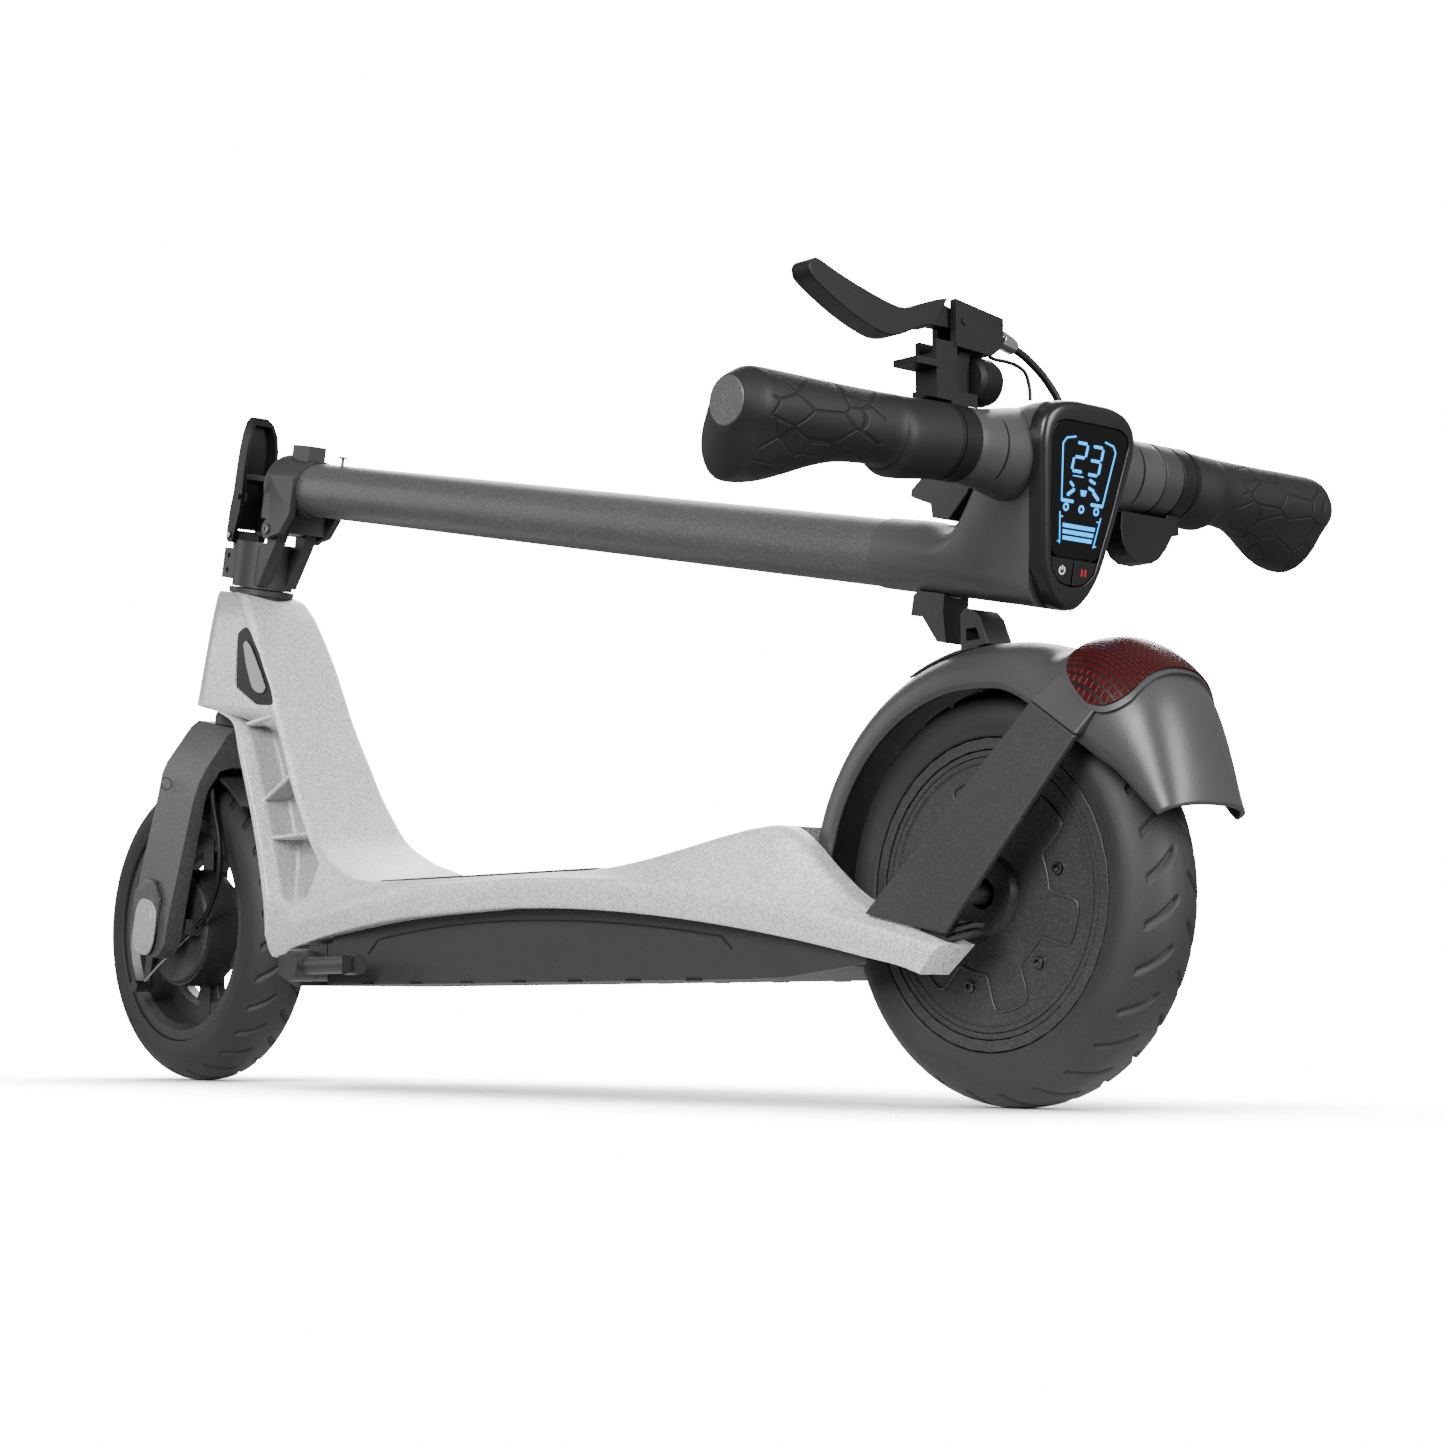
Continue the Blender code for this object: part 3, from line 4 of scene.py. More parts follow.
import bmesh
import bpy
from mathutils import Matrix, Vector


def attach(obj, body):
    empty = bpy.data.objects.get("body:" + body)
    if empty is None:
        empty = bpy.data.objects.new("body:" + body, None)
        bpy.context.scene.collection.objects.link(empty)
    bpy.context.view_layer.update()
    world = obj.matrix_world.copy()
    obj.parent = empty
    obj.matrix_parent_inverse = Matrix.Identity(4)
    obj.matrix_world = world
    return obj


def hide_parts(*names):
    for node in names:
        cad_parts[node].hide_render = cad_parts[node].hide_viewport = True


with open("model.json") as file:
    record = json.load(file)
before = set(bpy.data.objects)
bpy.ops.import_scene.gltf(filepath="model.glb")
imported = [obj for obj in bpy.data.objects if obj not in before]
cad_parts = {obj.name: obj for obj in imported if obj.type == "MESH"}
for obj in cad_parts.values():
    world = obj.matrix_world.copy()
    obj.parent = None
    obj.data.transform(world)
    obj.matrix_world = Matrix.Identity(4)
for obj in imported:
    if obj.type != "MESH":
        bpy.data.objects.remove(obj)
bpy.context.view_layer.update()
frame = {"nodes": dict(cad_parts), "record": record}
nodes = frame["nodes"]
joints = {joint["name"]: joint for joint in frame["record"]["behaviour"]["joints"]}
print("frame loaded:", len(nodes), "nodes")


# ---- places, worked out from the joints
def jointPlace(name):
    return Vector(joints[name]["pos_m"])


def jointAxis(name):
    return Vector(joints[name]["axis"])


rake = atan2(jointAxis("steer").x, jointAxis("steer").z)
steerFrame = Matrix.Translation(jointPlace("steer")) @ Matrix.Rotation(rake, 4, "Y")
foldFrame = Matrix.Translation(jointPlace("fold")) @ Matrix.Rotation(rake + radians(90), 4, "Y")
barFrame = Matrix.Translation((jointPlace("throttle_press").x, 0, jointPlace("throttle_press").z))
frontHub = Matrix.Translation(jointPlace("front_wheel_spin")) @ Matrix.Rotation(rake, 4, "Y")
rearHub = Matrix.Translation(jointPlace("rear_wheel_spin"))
wheelRadius = jointPlace("rear_wheel_spin").z
still = Matrix.Identity(4)
bothSides = ((-1, "left"), (1, "right"))


# ---- camera, floor and light
look = {
    "cameraPlace": (1.5763, -1.2519, 0.0574), "yaw": 48.31, "pitch": 5.775, "lens": 70.86,
    "floorRadius": 2.4, "floorFade": 1.1, "skyForCamera": 16.0, "skyForObject": 0.34,
}


def makeCamera():
    data = bpy.data.cameras.new("camera")
    data.lens, data.sensor_width = look["lens"], 36
    data.clip_start = 0.01
    camera = bpy.data.objects.new("camera", data)
    camera.location = look["cameraPlace"]
    camera.rotation_euler = (radians(90 + look["pitch"]), 0, radians(look["yaw"]))
    bpy.context.scene.collection.objects.link(camera)
    bpy.context.scene.camera = camera


def areaLight(name, place, target, size, power):
    data = bpy.data.lights.new(name, "AREA")
    data.shape, data.size, data.size_y = "RECTANGLE", size[0], size[1]
    data.energy = power
    light = bpy.data.objects.new(name, data)
    light.location = place
    light.rotation_euler = (Vector(target) - Vector(place)).to_track_quat("-Z", "Y").to_euler()
    bpy.context.scene.collection.objects.link(light)
    light.visible_camera = False


# ---- shader maths: a wrapped socket, and a surface that makes nodes
class Wire:
    def __init__(self, tree, socket):
        self.tree, self.socket = tree, socket

    def maths(self, operation, *others, swap=False):
        node = self.tree.nodes.new("ShaderNodeMath")
        node.operation = operation
        values = [self, *others][::-1] if swap else [self, *others]
        for slot, value in zip(node.inputs, values):
            connect(self.tree, value, slot)
        return Wire(self.tree, node.outputs[0])

    def __add__(self, other):
        return self.maths("ADD", other)

    def __radd__(self, other):
        return self.maths("ADD", other)

    def __sub__(self, other):
        return self.maths("SUBTRACT", other)

    def __rsub__(self, other):
        return self.maths("SUBTRACT", other, swap=True)

    def __mul__(self, other):
        return self.maths("MULTIPLY", other)

    def __rmul__(self, other):
        return self.maths("MULTIPLY", other)

    def __abs__(self):
        return self.maths("ABSOLUTE")

    def clamp(self):
        return self.maths("MAXIMUM", 0.0).maths("MINIMUM", 1.0)

    def step(self, low, high):
        node = self.tree.nodes.new("ShaderNodeMapRange")
        node.interpolation_type = "SMOOTHSTEP"
        for slot, value in zip(node.inputs, (self, low, high, 0.0, 1.0)):
            connect(self.tree, value, slot)
        return Wire(self.tree, node.outputs[0])


def connect(tree, value, slot):
    if isinstance(value, Wire):
        tree.links.new(value.socket, slot)
    elif value is not None:
        slot.default_value = value


class Surface:
    def __init__(self, name, colour, roughness, metallic=0.0, **fixed):
        self.material = bpy.data.materials.new(name)
        self.material.use_nodes = True
        self.tree = self.material.node_tree
        self.shader = self.tree.nodes["Principled BSDF"]
        self.put("Base Color", (*colour, 1.0))
        self.put("Roughness", roughness)
        self.put("Metallic", metallic)
        for key, value in fixed.items():
            self.put(key.replace("_", " "), value)
        self.material.diffuse_color = (*colour, 1.0)

    def put(self, socket, value):
        connect(self.tree, value, self.shader.inputs[socket])
        return self

    def make(self, kind, output=0, settings=None, **sockets):
        node = self.tree.nodes.new("ShaderNode" + kind)
        for key, value in (settings or {}).items():
            setattr(node, key, value)
        for key, value in sockets.items():
            connect(self.tree, value, node.inputs[key.replace("_", " ")])
        return Wire(self.tree, node.outputs[output])

    def place(self):
        return self.make("TexCoord", "Object")

    def parts(self, vector):
        split = self.tree.nodes.new("ShaderNodeSeparateXYZ")
        connect(self.tree, vector, split.inputs[0])
        return [Wire(self.tree, out) for out in split.outputs]

    def stretch(self, vector, scale=(1, 1, 1), turn=(0, 0, 0)):
        return self.make("Mapping", Vector=vector, Scale=scale, Rotation=turn)

    def grain(self, scale, detail=3.0, vector=None, rough=0.5):
        return self.make("TexNoise", "Fac", Vector=vector or self.place(), Scale=scale, Detail=detail,
                         Roughness=rough)

    def mix(self, share, first, second):
        node = self.tree.nodes.new("ShaderNodeMix")
        node.data_type = "RGBA"
        for key, value in ((0, share), (6, first), (7, second)):
            if isinstance(value, tuple) and len(value) == 3:
                value = (*value, 1.0)
            connect(self.tree, value, node.inputs[key])
        return Wire(self.tree, node.outputs[2])

    def bump(self, height, strength=0.3, distance=0.001):
        bump = self.make("Bump", "Normal", Height=height, Strength=strength, Distance=distance)
        return self.put("Normal", bump)


surfaces = {
    # the silver's recess colour is painted shade for the neck's recessed faces
    "silver": {"colour": (0.60, 0.61, 0.62), "dark": (0.40, 0.40, 0.402), "bright": (0.96, 0.96, 0.96),
               "recess": (0.16, 0.162, 0.166), "roughness": 0.46, "metallic": 0.35,
               "flakeScale": 900.0, "cloudScale": 420.0},
    "rubber": {"colour": (0.010, 0.010, 0.0102), "worn": (0.017, 0.017, 0.0175), "roughness": 0.62},
    # the grip's groove colour is painted shade in its grooves
    "grip": {"colour": (0.007, 0.007, 0.0072), "raised": (0.008, 0.008, 0.0082),
             "groove": (0.003, 0.003, 0.003), "roughness": 0.55, "cellScale": 62.0},
    # the mat's crest colour is a painted highlight and its valley colour a painted shade
    "mat": {"colour": (0.020, 0.020, 0.0205), "valley": (0.012, 0.012, 0.0125),
            "crest": (0.028, 0.028, 0.029), "pitch": 0.0026},
    "tail": {"colour": (0.05, 0.004, 0.004), "brick": (0.048, 0.004, 0.0045),
             "mortar": (0.014, 0.002, 0.002), "brickScale": 120.0},
}


def sparkleSilver():
    v = surfaces["silver"]
    s = Surface("sparkle_silver", v["colour"], v["roughness"], v["metallic"])
    flake = s.make("TexVoronoi", "Color", Vector=s.place(), Scale=v["flakeScale"])
    bright = s.parts(flake)[0]
    cloud = s.grain(v["cloudScale"], 2.0)
    grains = s.mix((bright * 0.8 + cloud * 0.45 - 0.05).clamp(), v["dark"], v["bright"])
    # painted shade: the recess colour darkens the sideways faces of the neck's narrow web, and rear-facing
    # faces ahead of a slanted line through the neck, where shade falls
    x, y, z = s.parts(s.place())
    normal = s.parts(s.make("NewGeometry", "Normal"))
    behind = (-0.1295 - z * 0.622 - x).step(0.008, 0.014) * normal[0].step(0.1, 0.4)
    facing = abs(normal[1]).step(0.45, 0.85).maths("MAXIMUM", behind)
    recess = facing * (1 - abs(y).step(0.0290, 0.0330)) * 0.6
    s.put("Base Color", s.mix(recess, grains, v["recess"]))
    s.put("Roughness", 0.36 + s.grain(35.0) * 0.16 + bright * 0.06)
    return s.bump(bright * 0.5 + cloud, 0.30, 0.0004).material


def finePlastic(name, colour, roughness, grainScale=1400.0, strength=0.25, specular=0.5):
    s = Surface(name, colour, roughness, Specular_IOR_Level=specular)
    lighter = tuple(c * 1.35 for c in colour)
    fine = s.grain(grainScale, 2.0)
    wide = s.grain(18.0, 3.0)
    s.put("Base Color", s.mix((fine * 0.5 + wide * 0.6 - 0.15).clamp(), colour, lighter))
    s.put("Roughness", roughness - 0.06 + wide * 0.12)
    return s.bump(fine, strength, 0.0002).material


def satinPaint(name, colour, roughness, metallic):
    s = Surface(name, colour, roughness, metallic)
    flake = s.parts(s.make("TexVoronoi", "Color", Vector=s.place(), Scale=1300.0))[0]
    wide = s.grain(12.0, 3.0)
    s.put("Base Color", s.mix((flake.step(0.7, 1.0) * 0.5 + wide * 0.25).clamp(), colour,
                              tuple(c * 2.4 for c in colour)))
    s.put("Roughness", roughness - 0.04 + wide * 0.09 + flake * 0.03)
    return s.bump(flake, 0.1, 0.0002).material


def tyreRubber():
    v = surfaces["rubber"]
    s = Surface("tyre_rubber", v["colour"], v["roughness"])
    fine, wide = s.grain(800.0, 3.0), s.grain(25.0, 4.0)
    s.put("Base Color", s.mix(wide, v["colour"], v["worn"]))
    s.put("Roughness", v["roughness"] - 0.06 + wide * 0.14)
    return s.bump(fine, 0.25, 0.0003).material


def gripRubber():
    v = surfaces["grip"]
    s = Surface("grip_rubber", v["colour"], v["roughness"], Specular_IOR_Level=0.35)
    place = s.place()
    x, y, z = s.parts(place)
    out = abs(y)
    panel = out.step(0.1560, 0.1575) * (1 - out.step(0.2400, 0.2440))
    cells = s.make("TexVoronoi", "Distance", settings={"feature": "DISTANCE_TO_EDGE"},
                   Vector=s.stretch(place, (1.0, 0.62, 1.0)), Scale=v["cellScale"], Randomness=0.9)
    # painted shade: the grooves between the cells take a darker colour than the raised rubber, besides being
    # pressed in by the bump
    groove = (1 - cells.step(0.012, 0.055)) * panel
    fine = s.grain(1500.0, 2.0)
    s.put("Base Color", s.mix(groove, v["raised"], v["groove"]))
    s.put("Roughness", 0.50 + s.grain(40.0) * 0.12 + groove * 0.1)
    return s.bump(fine * 0.12 - groove, 0.8, 0.0006).material


def matRubber():
    v = surfaces["mat"]
    s = Surface("mat_rubber", v["colour"], 0.7)
    x, y, z = s.parts(s.place())
    ribs = (x * (pi / v["pitch"])).maths("SINE").step(-0.2, 0.5)
    # painted highlight and shade: the rib crests are coloured lighter and the valleys darker, besides the
    # bump
    s.put("Base Color", s.mix(ribs, v["valley"], v["crest"]))
    s.put("Roughness", 0.62 + s.grain(60.0) * 0.16)
    return s.bump(ribs + s.grain(900.0) * 0.2, 0.8, 0.0008).material


def brushedMetal(name, colour, roughness):
    s = Surface(name, colour, roughness, 1.0)
    lines = s.grain(300.0, 4.0, s.stretch(s.place(), (1.0, 14.0, 1.0)))
    s.put("Base Color", s.mix(lines, tuple(c * 0.8 for c in colour), colour))
    s.put("Roughness", roughness - 0.05 + lines * 0.12)
    return s.bump(lines, 0.1, 0.0002).material


def tailRed():
    v = surfaces["tail"]
    s = Surface("tail_red", v["colour"], 0.2, Specular_IOR_Level=0.3)
    place = s.stretch(s.place(), (1, 1, 1), (0, radians(-20), 0))
    x, y, z = s.parts(place)
    brick = s.make("TexBrick", "Fac", Vector=s.make("CombineXYZ", X=x, Y=y, Z=0.0), Scale=v["brickScale"],
                   Mortar_Size=0.06, Brick_Width=0.55, Row_Height=0.28, Mortar_Smooth=0.4)
    s.put("Base Color", s.mix(brick, v["brick"], v["mortar"]))
    s.put("Roughness", 0.16 + brick * 0.2)
    return s.bump(1 - brick, 0.35, 0.0006).material


def lensGlass():
    s = Surface("display_gloss", (0.004, 0.004, 0.0045), 0.10, Specular_IOR_Level=0.22)
    s.put("Roughness", 0.05 + s.grain(30.0) * 0.06)
    return s.material


def lampGlass():
    s = Surface("lamp_lens", (0.72, 0.76, 0.80), 0.08, Coat_Weight=0.5, Alpha=0.85)
    x, y, z = s.parts(s.place())
    flutes = (y * (pi / 0.0016)).maths("SINE")
    s.put("Base Color", s.mix(flutes.step(-1.0, 1.0), (0.55, 0.58, 0.62), (0.85, 0.88, 0.92)))
    return s.bump(flutes, 0.4, 0.0006).material


def glow(name, colour, strength):
    s = Surface(name, tuple(c * 0.3 for c in colour), 0.4)
    s.put("Emission Color", s.mix(s.grain(600.0), colour, tuple(min(1.0, c * 1.15) for c in colour)))
    return s.put("Emission Strength", strength).material


def copperWindings():
    s = Surface("copper_windings", (0.55, 0.22, 0.08), 0.35, 0.9)
    x, y, z = s.parts(s.place())
    turns = (y * (pi / 0.0009)).maths("SINE").step(-1.0, 1.0)
    s.put("Base Color", s.mix(turns, (0.25, 0.09, 0.03), (0.60, 0.26, 0.10)))
    return s.bump(turns, 0.5, 0.0005).material


paint = {
    "silver": sparkleSilver(),
    "charcoal": finePlastic("charcoal_plastic", (0.020, 0.0202, 0.0208), 0.47),
    "satin": satinPaint("satin_dark_paint", (0.060, 0.0603, 0.0608), 0.40, 0.3),
    "black": finePlastic("black_plastic", (0.005, 0.005, 0.0052), 0.42, specular=0.28),
    "gloss": finePlastic("gloss_black", (0.006, 0.006, 0.0065), 0.30, strength=0.08),
    "fender": finePlastic("fender_plastic", (0.036, 0.0362, 0.0368), 0.38, 1100.0, 0.3),
    "stay": satinPaint("stay_paint", (0.017, 0.0172, 0.0176), 0.55, 0.1),
    "cover": satinPaint("cover_paint", (0.034, 0.0342, 0.0346), 0.40, 0.4),
    "tray": finePlastic("tray_paint", (0.018, 0.0182, 0.0186), 0.50, 900.0, 0.3),
    "head": finePlastic("head_paint", (0.040, 0.0402, 0.0408), 0.40, 900.0, 0.3),
    "rubber": tyreRubber(),
    "grip": gripRubber(),
    "mat": matRubber(),
    "steel": brushedMetal("steel", (0.42, 0.42, 0.43), 0.32),
    "darkSteel": brushedMetal("dark_steel", (0.12, 0.12, 0.122), 0.36),
    "chrome": brushedMetal("chrome", (0.75, 0.75, 0.76), 0.12),
    "silverCap": satinPaint("cap_paint", (0.36, 0.365, 0.37), 0.42, 0.6),
    "tail": tailRed(),
    "display": lensGlass(),
    "lamp": lampGlass(),
    "cyan": glow("cyan_light", (0.0, 0.36, 1.0), 2.0),
    "white": glow("white_mark", (0.75, 0.80, 0.85), 0.8),
    "redMark": glow("red_mark", (0.55, 0.01, 0.015), 0.5),
    "copper": copperWindings(),
    "blueFilm": finePlastic("blue_film", (0.02, 0.09, 0.24), 0.3),
    "badge": brushedMetal("badge_metal", (0.34, 0.345, 0.35), 0.34),
}
print("materials made:", len(paint))


# ---- shape helpers
def aroundTurn(count):
    return [2 * pi * k / count for k in range(count)]


def between(side, near, far):
    # the low and high Y of a slab that lies between two distances from the middle
    return sorted((side * near, side * far))


def meshPiece(name, bm, body, material, place=still, sharp=35, soften=0.0):
    bmesh.ops.recalc_face_normals(bm, faces=bm.faces)
    mesh = bpy.data.meshes.new(name)
    bm.to_mesh(mesh)
    bm.free()
    mesh.transform(place)
    mesh.materials.append(paint[material])
    mesh.shade_smooth()
    mesh.set_sharp_from_angle(angle=radians(sharp))
    piece = bpy.data.objects.new(name, mesh)
    bpy.context.scene.collection.objects.link(piece)
    if soften:
        bevel(piece, soften)
    if body:
        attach(piece, body)
    return piece


def bevel(piece, width, segments=3, angle=32):
    mod = piece.modifiers.new("edges", "BEVEL")
    mod.width, mod.segments, mod.limit_method = width, segments, "ANGLE"
    mod.angle_limit = radians(angle)
    mod.harden_normals = True
    mod.use_clamp_overlap = True


def lathe(name, profile, body, material, place, steps=96, closed=True, ripple=None, **more):
    # profile of (radius, height towards -Y), turned about Y
    bm = bmesh.new()
    rows = []
    for a in aroundTurn(steps):
        row = []
        for r, h in profile:
            r = r + (ripple(a, h, r) if ripple else 0.0)
            row.append(bm.verts.new((r * cos(a), -h, r * sin(a))))
        rows.append(row)
    count = len(profile)
    for k in range(steps):
        one, two = rows[k], rows[(k + 1) % steps]
        for i in range(count if closed else count - 1):
            j = (i + 1) % count
            bm.faces.new((one[i], two[i], two[j], one[j]))
    if not closed:
        bmesh.ops.remove_doubles(bm, verts=bm.verts, dist=1e-6)
        bmesh.ops.holes_fill(bm, edges=bm.edges)
    return meshPiece(name, bm, body, material, place, **more)


def skin(name, rings, body, material, place=still, loop=True, **more):
    # a skin over rings of the same number of points, its ends closed when the rings are
    bm = bmesh.new()
    rows = [[bm.verts.new(p) for p in ring] for ring in rings]
    count = len(rings[0])
    for one, two in zip(rows, rows[1:]):
        for i in range(count if loop else count - 1):
            j = (i + 1) % count
            bm.faces.new((one[i], one[j], two[j], two[i]))
    if loop:
        bm.faces.new(rows[0][::-1])
        bm.faces.new(rows[-1])
    return meshPiece(name, bm, body, material, place, **more)


def slab(name, outline, low, high, body, material, place=still, axis="Y", **more):
    # an outline of (u, v) with thickness along an axis: Y (x, z), X (y, z) or Z (x, y)
    order = {"Y": lambda u, v, w: (u, w, v), "X": lambda u, v, w: (w, u, v),
             "Z": lambda u, v, w: (u, v, w)}[axis]
    bm = bmesh.new()
    front = [bm.verts.new(order(u, v, low)) for u, v in outline]
    back = [bm.verts.new(order(u, v, high)) for u, v in outline]
    bm.faces.new(front)
    bm.faces.new(back)
    for i in range(len(outline)):
        j = (i + 1) % len(outline)
        bm.faces.new((front[i], front[j], back[j], back[i]))
    return meshPiece(name, bm, body, material, place, **more)


def through(knots, count):
    # points along a smooth curve through the knots
    knots = [Vector(k) for k in knots]
    ends = [2 * knots[0] - knots[1], *knots, 2 * knots[-1] - knots[-2]]
    made = []
    for i in range(count + 1):
        t = i / count * (len(knots) - 1)
        k = min(int(t), len(knots) - 2)
        t -= k
        a, b, c, d = ends[k:k + 4]
        made.append(0.5 * ((2 * b) + (c - a) * t + (2 * a - 5 * b + 4 * c - d) * t * t
                           + (3 * b - a - 3 * c + d) * t ** 3))
    return made


def hose(name, points, radius, body, material, place=still, sides=14):
    # a round section carried along the points, which turns as little as it can
    points = [Vector(p) for p in points]
    rings, up = [], Vector((0.31, 0.17, 0.93)).normalized()
    for i, point in enumerate(points):
        along = (points[min(i + 1, len(points) - 1)] - points[max(i - 1, 0)]).normalized()
        side = along.cross(up).normalized()
        up = side.cross(along).normalized()
        rings.append([point + side * radius * cos(a) + up * radius * sin(a) for a in aroundTurn(sides)])
    return skin(name, rings, body, material, place, sharp=50)


def screwHead(name, point, axis, radius, body, place=still, height=None):
    # a round socket-head screw, its hex recess facing along axis
    height = height or radius * 0.7
    recess = radius * 0.52
    bm = bmesh.new()
    sides = 24
    levels = [(radius, 0.0), (radius, height * 0.75), (radius * 0.88, height), (recess * 1.12, height)]
    rows = [[bm.verts.new((r * cos(a), r * sin(a), h)) for a in aroundTurn(sides)] for r, h in levels]
    for h in (height, height * 0.3):
        row = []
        for a in aroundTurn(sides):
            hexagon = recess * cos(pi / 6) / cos((a % (pi / 3)) - pi / 6)
            row.append(bm.verts.new((hexagon * cos(a), hexagon * sin(a), h)))
        rows.append(row)
    for one, two in zip(rows, rows[1:]):
        for k in range(sides):
            j = (k + 1) % sides
            bm.faces.new((one[k], one[j], two[j], two[k]))
    bm.faces.new(rows[0][::-1])
    bm.faces.new(rows[-1])
    turn = Vector(axis).to_track_quat("Z", "Y").to_matrix().to_4x4()
    return meshPiece(name, bm, body, "darkSteel", place @ Matrix.Translation(point) @ turn, sharp=30)


def cutWith(piece, cutters):
    # the cuts are made once, and the cutters removed
    for cutter in cutters:
        mod = piece.modifiers.new("cut", "BOOLEAN")
        mod.operation, mod.object, mod.solver = "DIFFERENCE", cutter, "EXACT"
    graph = bpy.context.evaluated_depsgraph_get()
    graph.update()
    made = bpy.data.meshes.new_from_object(piece.evaluated_get(graph))
    piece.modifiers.clear()
    piece.data = made
    for cutter in cutters:
        bpy.data.objects.remove(cutter, do_unlink=True)
    made.shade_smooth()
    made.set_sharp_from_angle(angle=radians(32))
    return piece


def dressCad(name, material, soften):
    # a CAD node keeps its shape, with softened edges and its own finish
    piece = nodes[name]
    if not piece.material_slots:
        piece.data.materials.append(paint[material])
    for slotOf in piece.material_slots:
        slotOf.material = paint[material]
    piece.data.shade_smooth()
    if "custom_normal" in piece.data.attributes:
        piece.data.attributes.remove(piece.data.attributes["custom_normal"])
    weld = piece.modifiers.new("weld", "WELD")
    weld.merge_threshold = 1e-6
    bevel(piece, soften, 2)


# ---- CAD nodes that keep their shape
dressed = {
    "satin": ("axle_cover_left", "axle_cover_right", "fork", "stem_tube"),
    "charcoal": ("headset_upper", "headset_lower", "kickstand_bracket", "kickstand_leg", "fender_catch",
                 "stem_hook", "front_mudguard", "throttle_housing", "headlight_housing", "steerer_block",
                 "stem_base"),
    "stay": ("fender_stay_left", "fender_stay_right"),
    "black": ("neck_insert_left", "neck_insert_right", "throttle_lever", "power_button", "mode_button",
              "lever_cable", "switch_wire", "front_brake_cable", "brake_lever", "latch_lever",
              "brake_clamp", "bell"),
    "gloss": ("display_bezel",),
    "display": ("display_lens",),
    "lamp": ("headlight_lens",),
    "tray": ("battery_tray",),
    "head": ("bar_head",),
    "mat": ("deck_mat",),
    "rubber": ("rear_tyre", "front_tyre"),
    "grip": ("grip_left", "grip_right"),
    "cover": ("motor_shell", "motor_cover", "front_rim", "brake_backplate"),
    "fender": ("rear_fender",),
    "tail": ("tail_light",),
    "silver": ("main_frame",),
    "steel": ("rear_axle", "front_axle", "fold_pin", "latch_pin", "brake_inner_wire", "brake_shoe_front",
              "brake_shoe_rear", "controller_box"),
    "darkSteel": ("brake_arm", "latch_hook", "handlebar_tube"),
    "chrome": ("barrel_adjuster",),
    "copper": ("motor_stator",),
    "blueFilm": ("battery_pack",),
}


cadEdge = 0.0005
widerEdges = {"fork": 0.0012, "fender_stay_left": 0.0012, "fender_stay_right": 0.0012}


def dressAll():
    for material, names in dressed.items():
        for name in names:
            dressCad(name, material, widerEdges.get(name, cadEdge))
    left = set(nodes) - {name for names in dressed.values() for name in names}
    print("CAD nodes dressed;", "left over:", sorted(left))


# ---- frame casting: neck and deck in one smooth shell
casting = {"grain": 6, "neckEdge": 0.0026, "webEdge": 0.004, "deckEdge": 0.006, "deckTop": 0.1495,
           "matRecess": 0.0022, "wheelWellHalf": 0.0452, "wheelWellRadius": 0.1540}


def roundCorners(outline, radii, steps=4):
    # every corner of a closed outline becomes an arc of the same number of points
    made = []
    count = len(outline)
    for i in range(count):
        before, here, after = (Vector(outline[k % count]) for k in (i - 1, i, i + 1))
        back, ahead = before - here, after - here
        reach = min(radii[i], back.length * 0.48, ahead.length * 0.48)
        start, end = here + back.normalized() * reach, here + ahead.normalized() * reach
        for k in range(steps):
            t = k / (steps - 1)
            made.append(start.lerp(here, t).lerp(here.lerp(end, t), t))
    return made


def ringOf(half, radii, top, along):
    outline = [(-y, d) for y, d in half] + [(y, d) for y, d in half[::-1]]
    ring = []
    for point in roundCorners(outline, list(radii) + list(radii)[::-1]):
        at = top + along * point.y
        ring.append((at.x, point.x, at.y))
    return ring


def spanOf(top, bottom):
    top, bottom = Vector(top), Vector(bottom)
    return top, (bottom - top).length, (bottom - top).normalized()


def neckRing(topX, topZ, bottomX, bottomZ, topHalf, bottomHalf, web):
    top, length, along = spanOf((topX, topZ), (bottomX, bottomZ))
    half = [(topHalf - 0.003, 0.0), (topHalf, 0.003), (topHalf, 0.0075), (web, 0.0135), (web, length - 0.016),
            (bottomHalf, length - 0.010), (bottomHalf, length - 0.003), (bottomHalf - 0.003, length)]
    edge, deep = casting["neckEdge"], casting["webEdge"]
    return ringOf(half, (0.006, edge, 0.0012, deep, deep, 0.0012, edge, 0.006), top, along)


def deckRing(topX, topZ, bottomX, bottomZ, topHalf, creaseHalf, bottomHalf, crease):
    top, length, along = spanOf((topX, topZ), (bottomX, bottomZ))
    shoulder = creaseHalf - topHalf
    half = [(topHalf, 0.0), (topHalf + 0.25 * shoulder, 0.30 * crease),
            (topHalf + 0.62 * shoulder, 0.72 * crease), (creaseHalf, crease),
            (creaseHalf + 0.0005, crease + 0.3 * (length - crease)), (bottomHalf + 0.001, length - 0.003),
            (bottomHalf - 0.001, length), (bottomHalf - 0.012, length)]
    edge = casting["deckEdge"]
    return ringOf(half, (edge, edge, edge, 0.0022, edge, 0.002, 0.001, edge), top, along)


def deckCrease(x):
    return 0.1455 - (x - 0.034) ** 2 / 3.2


def railBottom(x):
    return 0.1260 - (x - 0.024) ** 2 / (3.3 if x > 0.024 else 2.42)


